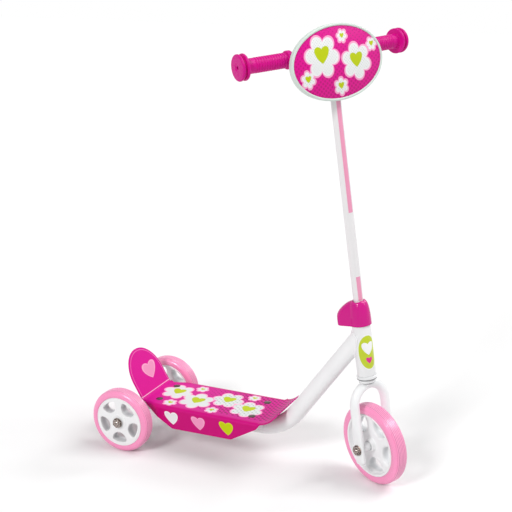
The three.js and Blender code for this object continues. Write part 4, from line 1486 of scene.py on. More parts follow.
@dataclass(frozen=True)
class Headset:
    """The cups and race in the head tube's ends, and two thin dark rings under the lower cup and
    the race: painted gap shade, partly a dark seal.
    """

    bore: float = 10.7
    lower_radius: float = 17.1
    lower_bottom: float = 118.3
    dark_ring_radius: float = 16.8
    dark_ring_bottom: float = 116.9
    lower_top: float = 122.7
    upper_radius: float = 15.6
    upper_bottom: float = 213.3
    upper_top: float = 216.3
    race_radius: float = 14.3
    race_shade_line: float = 0.8
    race_bottom: float = 111.5
    race_top: float = 117.0

    def build(self, shop: Workshop) -> None:
        """Makes the headset.

        Args:
            shop: The tools and finishes.
        """
        datum = shop.datum
        lower = softened(
            [
                (self.bore, self.lower_bottom),
                (self.lower_radius, self.lower_bottom, 0.5),
                (self.lower_radius, self.lower_top, 0.6),
                (self.bore, self.lower_top),
            ],
            closed=True,
        )
        upper = tube_profile(self.upper_radius, self.bore, self.upper_bottom, self.upper_top, 0.6)
        cup_finish, dark_ring_finish = shop.palette.cup, shop.palette.dark_ring
        for name, profile in (("lower", lower), ("upper", upper)):
            cup, node = turned(profile, 80, about_y=False), f"headset_cup_{name}"
            datum.head.seat(f"headset_{name}", cup, "grey_nylon", cup_finish, node)
        race = softened(
            [
                (self.bore, self.race_bottom),
                (self.race_radius, self.race_bottom, 0.3),
                (self.race_radius, self.race_bottom + 2.0, 0.8),
                (self.race_radius - 1.0, self.race_top, 0.6),
                (self.bore, self.race_top),
            ],
            closed=True,
        )
        ring = turned(race, 80, about_y=False)
        datum.steering.seat("headset_race", ring, "zinc_steel", shop.palette.paint, "crown_race")
        # A thin dark ring under the lower cup: painted shade of the gap there, partly a dark seal.
        line = tube_profile(self.dark_ring_radius, self.bore, self.dark_ring_bottom, self.lower_bottom, 0.3)
        dark_ring = turned(line, 80, about_y=False)
        datum.head.seat("headset_lower_seal", dark_ring, "grey_nylon", dark_ring_finish)
        # A thin dark ring under the race: painted shade of the gap there.
        low, radius = self.race_bottom - self.race_shade_line, self.race_radius - 0.4
        line = tube_profile(radius, self.bore, low, self.race_bottom, 0.2)
        washer = turned(line, 80, about_y=False)
        datum.steering.seat("headset_race_washer", washer, "zinc_steel", dark_ring_finish)


@dataclass(frozen=True)
class Cover:
    """The glossy moulding over the headset: a dome round the stem and a lobe that points back."""

    bottom: float = 210.0
    top: float = 251.5
    radius: float = 17.8
    wall: float = 1.6
    lobe_bottom: float = 209.6
    lobe_reach: float = 40.2
    lobe_half_width: float = 11.0
    lobe_flare: float = 4.6
    bite_radius: float = 11.0
    bite_depth: float = 2.2
    stem_radius: float = 8.75
    head_radius: float = 16.1
    roof_thickness: float = 6.0
    voxel: float = 0.55
    smoothings: int = 9
    tab_bottom: float = 210.9
    tab_thickness: float = 1.8
    tab_half_width: float = 8.0
    tab_start: float = 15.0
    screw_reach: float = 28.5
    screw_radius: float = 3.5
    screw_height: float = 1.6

    def dome(self, shrink: float, bottom: float, top: float) -> Mesh:
        """The dome's outside, shrunk by a wall.

        Args:
            shrink: How far it is drawn in.
            bottom: Its lower end.
            top: Its upper end.

        Returns:
            The mesh.
        """
        heights = (0, 0.34, 0.56, 0.75, 0.9, 1)
        radii = (1, 0.985, 0.95, 0.885, 0.775, 0.6)
        rise = top - bottom
        line = [(self.radius * r - shrink, bottom + rise * h) for r, h in zip(radii, heights)]
        line = smooth_curve(line, 6)
        return turned([(0, bottom), *line, (0, top)], 96, about_y=False).mesh("dome")

    def tab_loop(self, height: float) -> list[Vector]:
        """The outline of the head tube's tab, which the lobe hides and is screwed to.

        Args:
            height: The height.

        Returns:
            The points.
        """
        half = self.tab_half_width
        turns = spread(QUARTER, 3 * QUARTER, 16)
        loop = [(half * cos(a) - self.screw_reach, half * sin(a)) for a in turns]
        loop += [(-self.tab_start, -half), (-self.tab_start, half)]
        return [Vector((x, y, height)) for x, y in loop]

    def lobe(self, shrink: float, bottom: float, top: float) -> Mesh:
        """The lobe's outside, shrunk by a wall.

        Args:
            shrink: How far it is drawn in.
            bottom: Its lower end.
            top: Its upper end.

        Returns:
            The mesh.
        """
        heights = (0, 0.34, 0.5, 0.65, 0.81, 0.93, 0.98)
        reaches = (1, 1, 0.945, 0.83, 0.645, 0.45, 0.29)
        widths = (1, 1, 0.99, 0.95, 0.85, 0.7, 0.5)
        levels = [bottom + (top - bottom) * share for share in heights]
        back = smooth_curve([(self.lobe_reach * r, h) for r, h in zip(reaches, levels)], 5)
        side = smooth_curve([(self.lobe_half_width * w, h) for w, h in zip(widths, levels)], 5)
        rings = []
        for (reach, height), (width, _) in zip(back, side):
            half = width - shrink
            centre = shrink + half - reach
            ring = [
                Vector((centre + half * cos(a), half * sin(a), height))
                for a in spread(QUARTER, 3 * QUARTER, 24)
            ]
            flared = half + self.lobe_flare * width / self.lobe_half_width
            rings.append([*ring, Vector((0, -flared, height)), Vector((0, flared, height))])
        return lofted(rings).mesh("lobe")

    def build(self, shop: Workshop) -> None:
        """Makes the cover.

        Args:
            shop: The tools and finishes.
        """
        roof = self.top - self.roof_thickness
        bite = rod(self.bite_radius, -30, 30, about_y=True)
        bite.transform(shift(z=self.top - self.bite_depth + self.bite_radius))
        mesh = combined(
            self.dome(0, self.bottom, self.top),
            (Boolean.JOIN, self.lobe(0, self.lobe_bottom, self.top)),
            (Boolean.CUT, self.dome(self.wall, self.bottom - 1, roof)),
            (Boolean.CUT, self.lobe(self.wall, self.lobe_bottom - 1, roof + self.wall)),
            (Boolean.CUT, rod(self.head_radius, self.lobe_bottom - 3, self.bottom + 0.3)),
            (Boolean.CUT, bite),
            (Boolean.CUT, rod(self.stem_radius, self.bottom, self.top + 3)),
        )
        evened = ("REMESH", {"mode": "VOXEL", "voxel_size": self.voxel})
        mesh = evaluated(mesh, evened, ("SMOOTH", {"factor": 0.5, "iterations": self.smoothings}))
        home, palette = shop.datum.head, shop.palette
        slot, finish = "magenta_gloss", palette.cover
        home.seat("headset_moulded_cover", mesh, slot, finish, "headset_cover", sharp=180)
        low, radius = self.tab_bottom, self.screw_radius
        loops = [self.tab_loop(height) for height in (low, low + self.tab_thickness)]
        tab = bevelled(lofted(loops).mesh("tab"), 0.3)
        home.seat("headset_cover_tab", tab, "white_paint", palette.paint, "cover_tab")
        head = low - self.screw_height
        line = [(0, head), (radius, head, 0.6), (radius, low, 0.2), (0, low)]
        screw = turned(softened(line, closed=False), 40, about_y=False)
        screw = screw.moved(shift(x=-self.screw_reach))
        home.seat("headset_cover_screw", screw, "zinc_steel", palette.zinc, "cover_screw")


# Fork


@dataclass(frozen=True)
class Fork:
    """One bent tube over the front wheel, its legs pressed flat round the axle."""

    offset: float = 32.8
    radius: float = 7.9
    arch: float = 73.4
    drop: float = 26.5
    leg_length: float = 10.3
    leg_thickness: float = 4.0
    flatten_start: float = 50.0
    flatten_end: float = 18.0
    chamfer: float = 3.4
    tip_share: float = 0.72
    power: float = 3.6
    sides: int = 48
    steerer_radius: float = 10.2
    steerer_wall: float = 1.6
    steerer_top: float = 229.0
    spacer_radius: float = 7.5
    spacer_bore: float = 4.3
    hub_left: float = 16.5
    hub_right: float = -15.0
    weld_draw: float = 0.86
    weld: float = 1.9

    def section(self, station: Station) -> list[Pair]:
        """The tube's section at a station.

        Args:
            station: The station.

        Returns:
            Points [across, outward].
        """
        height = station.point.z
        flat = smooth_step((self.flatten_start - height) / (self.flatten_start - self.flatten_end))
        tip = min(max((height + self.drop) / self.chamfer, 0.0), 1.0)
        length = self.radius + (self.leg_length - self.radius) * flat
        length *= self.tip_share + (1 - self.tip_share) * tip
        thickness = self.radius + (self.leg_thickness - self.radius) * flat
        ease = 1 - 0.18 * max(0.0, 1 - (height + self.drop) / 0.8)
        power = 2 / (2 + (self.power - 2) * flat)
        points = []
        for u, v in circle(1.0, self.sides):
            across = copysign(abs(u) ** power, u) * length * (1 - (1 - ease) * 0.5)
            points.append((across, copysign(abs(v) ** power, v) * thickness * ease))
        return points

    def stations(self) -> list[Station]:
        """The fork's centre line, up the right leg and down the left.

        Returns:
            The stations.
        """
        low = [0, 0.25, 0.8, 2, 4, self.chamfer]
        heights = [value - self.drop for value in low]
        heights += spread(self.flatten_end, self.flatten_start, 14)
        arch = bent_path(
            [
                Vector((0, -self.offset, self.flatten_start)),
                Vector((0, -self.offset, self.arch + self.offset)),
                Vector((0, self.offset, self.arch + self.offset)),
                Vector((0, self.offset, self.flatten_start)),
            ],
            self.offset,
            24,
        )[1:-1]
        up, down = Vector((0, 0, 1)), Vector((0, 0, -1))
        right = [Station(Vector((0, -self.offset, z)), up) for z in heights]
        left = [Station(Vector((0, self.offset, z)), down) for z in reversed(heights)]
        return right + arch + left

    def build(self, shop: Workshop) -> None:
        """Makes the fork's pieces.

        Args:
            shop: The tools and finishes.
        """
        home, paint = shop.datum.steering, shop.palette.fork
        tube = swept(self.stations(), Vector((1, 0, 0)), self.section)
        home.seat("fork_bent_tube", tube, "white_paint", paint, "fork", sharp=40)
        radius, low = self.steerer_radius, self.arch + self.offset
        profile = tube_profile(radius, radius - self.steerer_wall, low, self.steerer_top)
        steerer = turned(profile, about_y=False)
        home.seat("fork_steerer", steerer, "white_paint", paint, "steerer_tube")
        line = []
        for x, y in circle(radius, 64):
            rise = sqrt(max(self.radius**2 - x * x, 4.0))
            height = self.arch + sqrt((self.offset + rise) ** 2 - y * y)
            line.append(Vector((x * self.weld_draw, y, height)))
        bead = shop.weld.make(line, self.weld, paint)
        home.seat("fork_weld", bead, "white_paint", paint, sharp=80)
        leg_face = self.offset - self.leg_thickness - 0.3
        spans = (("left", self.hub_left, leg_face), ("right", -leg_face, self.hub_right))
        for name, low, high in spans:
            spacer = turned(tube_profile(self.spacer_radius, self.spacer_bore, low, high, 0.5))
            node, finish = f"front_spacer_{name}", shop.palette.moulding
            home.seat(f"fork_spacer_{name}", spacer, "white_moulding", finish, node)


# Stem, handlebar and grips


@dataclass(frozen=True)
class Bars:
    """The stem, the swept handlebar and its two grips."""

    stem_radius: float = 8.25
    stem_wall: float = 1.5
    stem_bottom: float = 150.0
    height: float = 649.3
    radius: float = 8.25
    wall: float = 1.5
    half_length: float = 156.0
    sweep_degrees: float = 6.84
    bend: float = 40.0
    weld: float = 2.0
    grip_start: float = 71.5
    flange_radius: float = 14.2
    flange_width: float = 8.5
    core_radius: float = 10.9
    rib_height: float = 1.0
    rib_pitch: float = 4.4
    ribs: int = 12
    smooth_radius: float = 11.7
    disc_radius: float = 20.3
    disc_thickness: float = 4.6
    disc_spacing: float = 8.5
    neck_radius: float = 16.0
    grip_end: float = 163.0
    end_hole: float = 3.0
    fit: float = 0.15

    def path(self) -> list[Station]:
        """The handlebar's centre line.

        Returns:
            The stations.
        """
        sweep, length = radians(self.sweep_degrees), self.half_length
        left = Vector((-length * sin(sweep), length * cos(sweep), self.height))
        right = Vector((left.x, -left.y, left.z))
        return bent_path([right, Vector((0, 0, self.height)), left], self.bend, 8)

    def grip(self) -> Shape:
        """One grip, out along +Y from the handlebar's middle.

        Returns:
            The shape.
        """
        start = self.grip_start
        outer = self.grip_end - self.disc_thickness
        inner = outer - self.disc_spacing
        profile: list[Sequence[float]] = [
            (self.radius + self.fit, start, 0.8),
            (self.flange_radius, start, 1.8),
            (self.flange_radius, start + self.flange_width, 1.8),
            (self.core_radius, start + self.flange_width, 0.7),
        ]
        first = start + self.flange_width + self.rib_pitch / 2
        for i in range(self.ribs):
            low = first + i * self.rib_pitch
            quarter = self.rib_pitch / 4
            profile += [
                (self.core_radius, low + 0.2 * quarter, 0.35),
                (self.core_radius + self.rib_height, low + quarter, 0.5),
                (self.core_radius + self.rib_height, low + 3 * quarter, 0.5),
                (self.core_radius, low + 3.8 * quarter, 0.35),
            ]
        end = first + self.ribs * self.rib_pitch
        profile += [(self.core_radius, end, 0.4), (self.smooth_radius, end + 1.4, 0.8)]
        profile += [(self.smooth_radius, inner, 1.2)]
        profile += [
            (self.disc_radius, inner, 2.0),
            (self.disc_radius, inner + self.disc_thickness, 2.0),
            (self.neck_radius, inner + self.disc_thickness, 0.8),
            (self.neck_radius, outer, 0.8),
            (self.disc_radius, outer, 2.0),
            (self.disc_radius, self.grip_end, 2.0),
            (self.end_hole + 3.2, self.grip_end, 0.5),
            (self.end_hole + 2.2, self.grip_end - 0.7, 0.4),
            (self.end_hole, self.grip_end - 0.7, 0.4),
            (self.end_hole, self.half_length + 0.3),
            (self.radius + self.fit, self.half_length + 0.3),
        ]
        return turned(softened(profile, closed=True, steps=5), 96)

    def build(self, shop: Workshop) -> None:
        """Makes the stem, the handlebar and the grips.

        Args:
            shop: The tools and finishes.
        """
        home, paint = shop.datum.steering, shop.palette.paint
        radius, across = self.stem_radius, Vector((0, 0, 1))
        line = tube_profile(radius, radius - self.stem_wall, self.stem_bottom, self.height)
        stem = turned(line, 96, about_y=False).mesh("stem")
        saddle = swept(self.path(), across, lambda _: circle(self.radius)).mesh("saddle")
        stem = combined(stem, (Boolean.CUT, saddle))
        finish = shop.palette.stem
        home.seat("stem_upright_tube", stem, "white_paint", finish, "stem_tube", sharp=50)
        bar = bent_tube(self.path(), across, self.radius, self.wall)
        home.seat("handlebar_tube", bar, "white_paint", shop.palette.bar, "handlebar", sharp=50)
        line = []
        for x, y in circle(radius, 64):
            drop = sqrt(max(self.radius**2 - (x * 0.93) ** 2, 2.0))
            line.append(Vector((x, y, self.height - drop)))
        bead = shop.weld.make(line, self.weld, paint)
        home.seat("stem_weld", bead, "white_paint", paint, sharp=80)
        for name, turn in (("left", self.sweep_degrees), ("right", 180 - self.sweep_degrees)):
            grip = self.grip().moved(shift(z=self.height) @ rotation(turn, "Z"))
            finish = shop.palette.grip
            home.seat(f"soft_grip_{name}", grip, "grip", finish, f"grip_{name}", sharp=60)


# Front plate


@dataclass(frozen=True)
class Plate:
    """The oval plate in front of the handlebar and the printed panel in its face."""

    height: float = 635.0
    half_width: float = 89.6
    half_height: float = 58.5
    front: float = 18.0
    depth: float = 8.0
    wall: float = 2.2
    rim: float = 4.2
    recess: float = 1.6
    panel_gap: float = 0.15
    pad_offset: float = 28.0
    pad_width: float = 15.0
    pad_half_height: float = 20.0

    def loop(self, inset: float, x: float) -> list[Vector]:
        """The plate's outline, drawn in by an inset, at a depth."""
        wide, tall = self.half_width - inset, self.half_height - inset
        return [Vector((x, wide * u, self.height + tall * v)) for u, v in circle(1.0, 192)]

    def shell(self) -> Shape:
        """The moulded shell with its rounded rim.

        Returns:
            The shape.
        """
        back = self.front - self.depth
        floor = self.front - self.recess
        outer = softened(
            [
                (self.rim + 6, floor),
                (self.rim, floor, 0.3),
                (self.rim - 0.5, self.front, 1.3),
                (0, self.front, 2.4),
                (0, back, 0.6),
                (self.wall, back, 0.6),
                (self.wall + 0.4, floor - self.wall, 1.0),
                (self.rim + 6, floor - self.wall),
            ],
            closed=False,
            steps=5,
        )
        return lofted([self.loop(inset, x) for inset, x in outer])

    def pads(self, bars: Bars) -> Shape:
        """The two pads that carry the handlebar's clamps.

        Args:
            bars: The handlebar.

        Returns:
            The shape.
        """
        result = Shape([], [])
        low, high = bars.height - self.pad_half_height, bars.height + self.pad_half_height
        start = 0.5 - self.pad_offset * tan(radians(bars.sweep_degrees))
        end = self.front - self.recess - self.wall / 2
        for side in (-1, 1):
            middle, half = side * self.pad_offset, self.pad_width / 2
            right, left = middle - half, middle + half
            corners = ((right, low), (left, low), (left, high), (right, high))
            rings = [[Vector((x, y, z)) for y, z in corners] for x in (start, end)]
            result = result + lofted(rings)
        return result

    def build(self, shop: Workshop) -> None:
        """Makes the plate and its panel.

        Args:
            shop: The tools and finishes.
        """
        home, plate, bars = shop.datum.steering, shop.palette.plate, Bars()
        clamp = circle(bars.radius + 0.2)
        bar = swept(bars.path(), Vector((0, 0, 1)), lambda _: clamp).mesh("bar")
        pads = bevelled(combined(self.pads(bars).mesh("pads"), (Boolean.CUT, bar)), 0.8)
        shell, slot = self.shell(), "white_moulding"
        home.seat("plate_moulded_shell", shell, slot, plate, "plate_shell", sharp=50)
        home.seat("plate_pads", pads, slot, plate, sharp=50)
        floor = self.front - self.recess
        edge = self.rim + self.panel_gap
        levels = ((edge, floor), (edge, floor + 0.45), (edge + 0.3, floor + 0.6))
        panel, slot = lofted([self.loop(inset, x) for inset, x in levels]), "plate_print"
        finish = shop.palette.panel
        home.seat("plate_printed_panel", panel, slot, finish, "plate_panel", sharp=30)


# Deck


@dataclass(frozen=True)
class Deck:
    """One folded steel sheet: kick plate, flat top, side skirts and curled front lip."""

    thickness: float = 2.0
    half_width: float = 56.0
    fold: float = 4.0
    rear: float = 20.0
    front: float = 253.0
    flare_start: float = 30.0
    flare_end: float = 62.0
    skirt_start: float = 30.0
    skirt_rear: float = 33.0
    skirt_rear_depth: float = 6.5
    skirt_rear_corner: float = 86.0
    skirt_front_corner: float = 204.0
    skirt_rear_corner_depth: float = 38.0
    skirt_front_corner_depth: float = 36.5
    skirt_front_depth: float = 8.5
    skirt_round: float = 6.0
    lip_radius: float = 44.0
    lip_degrees: float = 52.0
    lip_corner: float = 12.0
    kick_half_width: float = 48.0
    kick_tilt_degrees: float = 29.5
    kick_bend: float = 7.0
    kick_straight: float = 34.0
    kick_crown: float = 53.0

    def edge(self, x: float) -> float:
        """The sheet's half width at a place."""
        share = (x - self.flare_start) / (self.flare_end - self.flare_start)
        return self.kick_half_width + (self.half_width - self.kick_half_width) * smooth_step(share)

    def skirt_depth(self, x: float) -> float:
        """How far the skirt hangs below the top at a place.

        Args:
            x: The place along X.

        Returns:
            The depth.
        """
        line = [
            (self.skirt_start, self.fold),
            (self.skirt_rear, self.skirt_rear_depth),
            (self.skirt_rear_corner, self.skirt_rear_corner_depth),
            (self.skirt_front_corner, self.skirt_front_corner_depth),
            (self.front, self.skirt_front_depth),
        ]
        line = softened([(*point, self.skirt_round) for point in line], closed=False, steps=6)
        for (x0, z0), (x1, z1) in zip(line, line[1:]):
            if x0 <= x <= x1:
                return z0 + (z1 - z0) * (x - x0) / max(x1 - x0, 1e-6)
        return 0.0

    def station(self, point: Vector, along: Vector, half: float, depth: float) -> list[Vector]:
        """One row across the sheet, from the right skirt's foot to the left's.

        Args:
            point: The row's middle.
            along: Which way the sheet runs there.
            half: The sheet's half width.
            depth: How far its skirts hang down; 0 for a flat edge.

        Returns:
            The row's points.
        """
        out = along.cross(Vector((0, 1, 0)))
        if out.z < 0 or (abs(out.z) < 1e-6 and out.x > 0):
            out = -out
        fold = min(self.fold, depth)
        right = []
        for share in spread(1, 0, 10):
            right.append((half, max(depth - fold, 0.0) * share + fold))
        for angle in spread(0, QUARTER, 8)[1:]:
            right.append((half - fold * (1 - cos(angle)), fold * (1 - sin(angle))))
        flat = half - fold
        across = [(flat * share, 0.0) for share in spread(1, 0, 14)[1:]]
        side = right + across
        row = [point - Vector((0, 1, 0)) * y - out * z for y, z in side]
        row += [point + Vector((0, 1, 0)) * y - out * z for y, z in reversed(side[:-1])]
        return row

    def rows(self) -> list[list[Vector]]:
        """Every row of the sheet, from the kick plate's crown to the lip's edge.

        Returns:
            The rows.
        """
        tilt, half = radians(self.kick_tilt_degrees), self.kick_half_width
        up = Vector((-sin(tilt), 0, cos(tilt)))
        foot = Vector((self.rear, 0, 0))
        rows = []
        for angle in spread(QUARTER * 0.992, 0, 36):
            height = self.kick_straight + self.kick_crown * sin(angle)
            rows.append(self.station(foot + up * height, -up, half * cos(angle), 0.0))
        bend = QUARTER - tilt
        middle = foot + up * (self.kick_bend * tan(bend / 2))
        middle += Vector((cos(tilt), 0, sin(tilt))) * self.kick_bend
        for height in spread(self.kick_straight, self.kick_bend * tan(bend / 2), 8)[1:-1]:
            rows.append(self.station(foot + up * height, -up, half, 0.0))
        for angle in spread(pi + tilt, 3 * QUARTER, 10):
            out = Vector((cos(angle), 0, sin(angle)))
            along = Vector((-sin(angle), 0, cos(angle)))
            rows.append(self.station(middle + out * self.kick_bend, along, half, 0.0))
        corners = {self.skirt_rear, self.skirt_rear_corner, self.skirt_front_corner}
        corners |= {self.flare_end, self.front}
        for x in sorted(set(spread(self.flare_start, self.front, 90)) | corners):
            place, along = Vector((x, 0, 0)), Vector((1, 0, 0))
            rows.append(self.station(place, along, self.edge(x), self.skirt_depth(x)))
        lip = radians(self.lip_degrees)
        corner_share = self.lip_corner / (self.lip_radius * lip)
        for share in [1 - (1 - s) ** 1.5 for s in spread(0, 1, 22)][1:]:
            angle = lip * share
            past = max(0.0, (share - 1 + corner_share) / corner_share)
            cut = self.lip_corner * (1 - sqrt(max(1 - past * past, 0.0)))
            ahead, rise = self.lip_radius * sin(angle), self.lip_radius * (1 - cos(angle))
            point = Vector((self.front + ahead, 0, rise))
            along = Vector((cos(angle), 0, sin(angle)))
            depth = self.skirt_front_depth * max(0.0, 1 - 6 * share)
            rows.append(self.station(point, along, self.half_width - cut, depth))
        return rows

    def build(self, shop: Workshop) -> None:
        """Makes the deck pan.

        Args:
            shop: The tools and finishes.
        """
        mesh = sheet(self.rows()).mesh("deck")
        solid = {"thickness": self.thickness, "offset": -1.0, "use_even_offset": True}
        mesh = evaluated(mesh, ("SOLIDIFY", solid), eased_edge(0.5, 2, 60))
        home, finish = shop.datum.deck, shop.palette.deck
        home.seat("deck_folded_sheet", mesh, "magenta_paint", finish, "deck_pan", sharp=50)


# Fasteners


@dataclass(frozen=True)
class Fasteners:
    """Bolts and nuts, each kind made once and set at its places."""

    bolt_head_radius: float = 7.8
    bolt_head_height: float = 3.0
    bolt_radius: float = 3.0
    bolt_tail: float = 3.0
    bolt_spacing: float = 62.0
    bracket_places: tuple[float, float] = (233.0, 46.0)
    nut_across: float = 10.0
    nut_height: float = 5.0
    sheet: float = 2.0
    bracket_wall: float = 2.5
    cap_across: float = 14.6
    cap_height: float = 4.5
    cap_dome: float = 3.5
    cap_dome_radius: float = 5.9
    washer_radius: float = 9.2
    washer_bore: float = 4.2
    washer_thickness: float = 0.8
    rear_seat: float = 100.5

    def hexagon(self, across: float, low: float, high: float, bore: float) -> Mesh:
        """A chamfered hexagon nut along +Y.

        Args:
            across: Its width across flats.
            low: Its lower end.
            high: Its upper end.
            bore: Its hole's radius, or 0 for none.

        Returns:
            The mesh.
        """
        corner = across / 2 / cos(pi / 6)
        rings = [[Vector((x, y, z)) for z, x in circle(corner, 6)] for y in (low, high)]
        chamfer = [
            (0, low - 1),
            (corner - 0.6, low - 1),
            (corner + 0.4, low + 0.7),
            (corner + 0.4, high - 0.7),
            (corner - 0.6, high + 0.2),
            (0, high + 0.2),
        ]
        cone = turned(chamfer, 48).mesh("cone")
        nut = combined(lofted(rings).mesh("hexagon"), (Boolean.COMMON, cone))
        if bore > 0:
            nut = combined(nut, (Boolean.CUT, rod(bore, low - 1, high + 1, True, 32)))
        return nut

    def bolt(self) -> Mesh:
        """A round-headed bolt, down from Z = 0.

        Returns:
            The mesh.
        """
        tail = -2 * self.sheet - self.bracket_wall - self.nut_height - self.bolt_tail
        line: list[Sequence[float]] = [(0, tail), (self.bolt_radius, tail, 0.4)]
        line += [(self.bolt_radius, 0.3)]
        radius, edge = self.bolt_head_radius, 0.9
        line += [(radius, 0.3, 0.3), (radius, edge, 0.3)]
        for angle in spread(0.15, QUARTER, 10):
            height = edge + (self.bolt_head_height - edge) * sin(angle)
            line.append((radius * 0.98 * cos(angle), height))
        line[-1] = (0, line[-1][1])
        return turned(softened(line, closed=False), 48, about_y=False).mesh("bolt")

    def cap_nut(self) -> Mesh:
        """A hexagon nut with a domed cap, seated at Y = 0.

        Returns:
            The mesh.
        """
        nut = self.hexagon(self.cap_across, self.washer_thickness, self.cap_height, 0)
        radius, height = self.cap_dome_radius, self.cap_height
        profile = [(0, height / 2), (radius, height / 2), (radius, height)]
        for angle in spread(0, QUARTER, 10)[1:]:
            profile.append((max(radius * cos(angle), 0.0), height + self.cap_dome * sin(angle)))
        dome = turned(profile, 48).mesh("dome")
        thickness = self.washer_thickness
        flange = tube_profile(self.washer_radius, self.washer_bore, 0, thickness, 0.25)
        washer = turned(flange, 48).mesh("flange")
        return combined(nut, (Boolean.JOIN, dome), (Boolean.JOIN, washer))

    def build(self, shop: Workshop) -> None:
        """Makes every fastener.

        Args:
            shop: The tools and finishes.
        """
        palette, datum, slot = shop.palette, shop.datum, "zinc_steel"
        names = ("front_right", "front_left", "rear_right", "rear_left")
        spots = [(x, side * self.bolt_spacing / 2) for x in self.bracket_places for side in (-1, 1)]
        places = [((x, y, 0.0), (0.0, 0.0, 0.0)) for x, y in spots]
        bolts = shop.copies.make(self.bolt(), places, palette.bolt)
        nodes = (f"deck_bolt_{name}" for name in names)
        datum.deck.seat("deck_bolts", bolts, slot, palette.bolt, *nodes)
        top = -self.sheet - 0.6 - self.bracket_wall
        nut = self.hexagon(self.nut_across, top - self.nut_height, top, self.bolt_radius + 0.1)
        nut.transform(rotation(90, "X"))
        places = [((x, y, 0.0), (0.0, 0.0, 0.3 + i)) for i, (x, y) in enumerate(spots)]
        nuts = shop.copies.make(nut, places, palette.zinc)
        nodes = (f"deck_nut_{name}" for name in names)
        datum.deck.seat("deck_nuts", nuts, slot, palette.zinc, *nodes)
        front_seat = Fork().offset + Fork().leg_thickness + 0.1
        sets = (
            ("rear", datum.scooter, self.rear_seat, Stance().rear_radius, 0.5, 0.9),
            ("front", datum.steering, front_seat, 0.0, 0.4, 0.7),
        )
        for name, home, out, height, left, right in sets:
            places = [
                ((0.0, out, height), (0.0, left, 0.0)),
                ((0.0, -out, height), (0.0, right, pi)),
            ]
            caps = shop.copies.make(self.cap_nut(), places, palette.nut)
            nodes = (f"{name}_axle_nut_left", f"{name}_axle_nut_right")
            home.seat(f"{name}_cap_nuts", caps, slot, palette.nut, *nodes, sharp=30)


# Studio


@dataclass(frozen=True)
class Camera:
    """Where the photograph was taken from, in row millimetres and degrees."""

    place: Triple = (767.41, -1546.62, 892.9)
    azimuth: float = 26.49
    elevation: float = 16.91
    roll: float = -0.41
    lens: float = 75.04

    def build(self) -> None:
        """Places the camera."""
        turn, tilt, roll = (radians(value) for value in (self.azimuth, self.elevation, self.roll))
        look = Vector((-sin(turn) * cos(tilt), cos(turn) * cos(tilt), -sin(tilt)))
        right = Vector((cos(turn), sin(turn), 0))
        up = right.cross(look)
        right, up = right * cos(roll) + up * sin(roll), up * cos(roll) - right * sin(roll)
        data = bpy.data.cameras.new("photo_camera")
        data.lens, data.sensor_width = self.lens, 36
        data.clip_start, data.clip_end = 0.05, 20
        holder = bpy.data.objects.new("photo_camera", data)
        axes = Matrix((right, up, -look)).transposed().to_4x4()
        holder.matrix_world = shift(*(Vector(self.place) * MM)) @ axes
        bpy.context.scene.collection.objects.link(holder)
        bpy.context.scene.camera = holder


@dataclass(frozen=True)
class Sun:
    """One broad soft light, its heading from +X towards +Y, height and width in degrees."""

    name: str
    heading: float
    height: float
    width: float
    strength: float

    def build(self) -> None:
        """Places the lamp."""
        data = bpy.data.lights.new(self.name, "SUN")
        data.angle, data.energy = radians(self.width), self.strength
        holder = bpy.data.objects.new(self.name, data)
        turn, rise = radians(self.heading), radians(self.height)
        source = Vector((cos(turn) * cos(rise), sin(turn) * cos(rise), sin(rise)))
        holder.matrix_world = source.to_track_quat("Z", "Y").to_matrix().to_4x4()
        bpy.context.scene.collection.objects.link(holder)


PURE_WHITE = (1.0, 1.0, 1.0, 1.0)


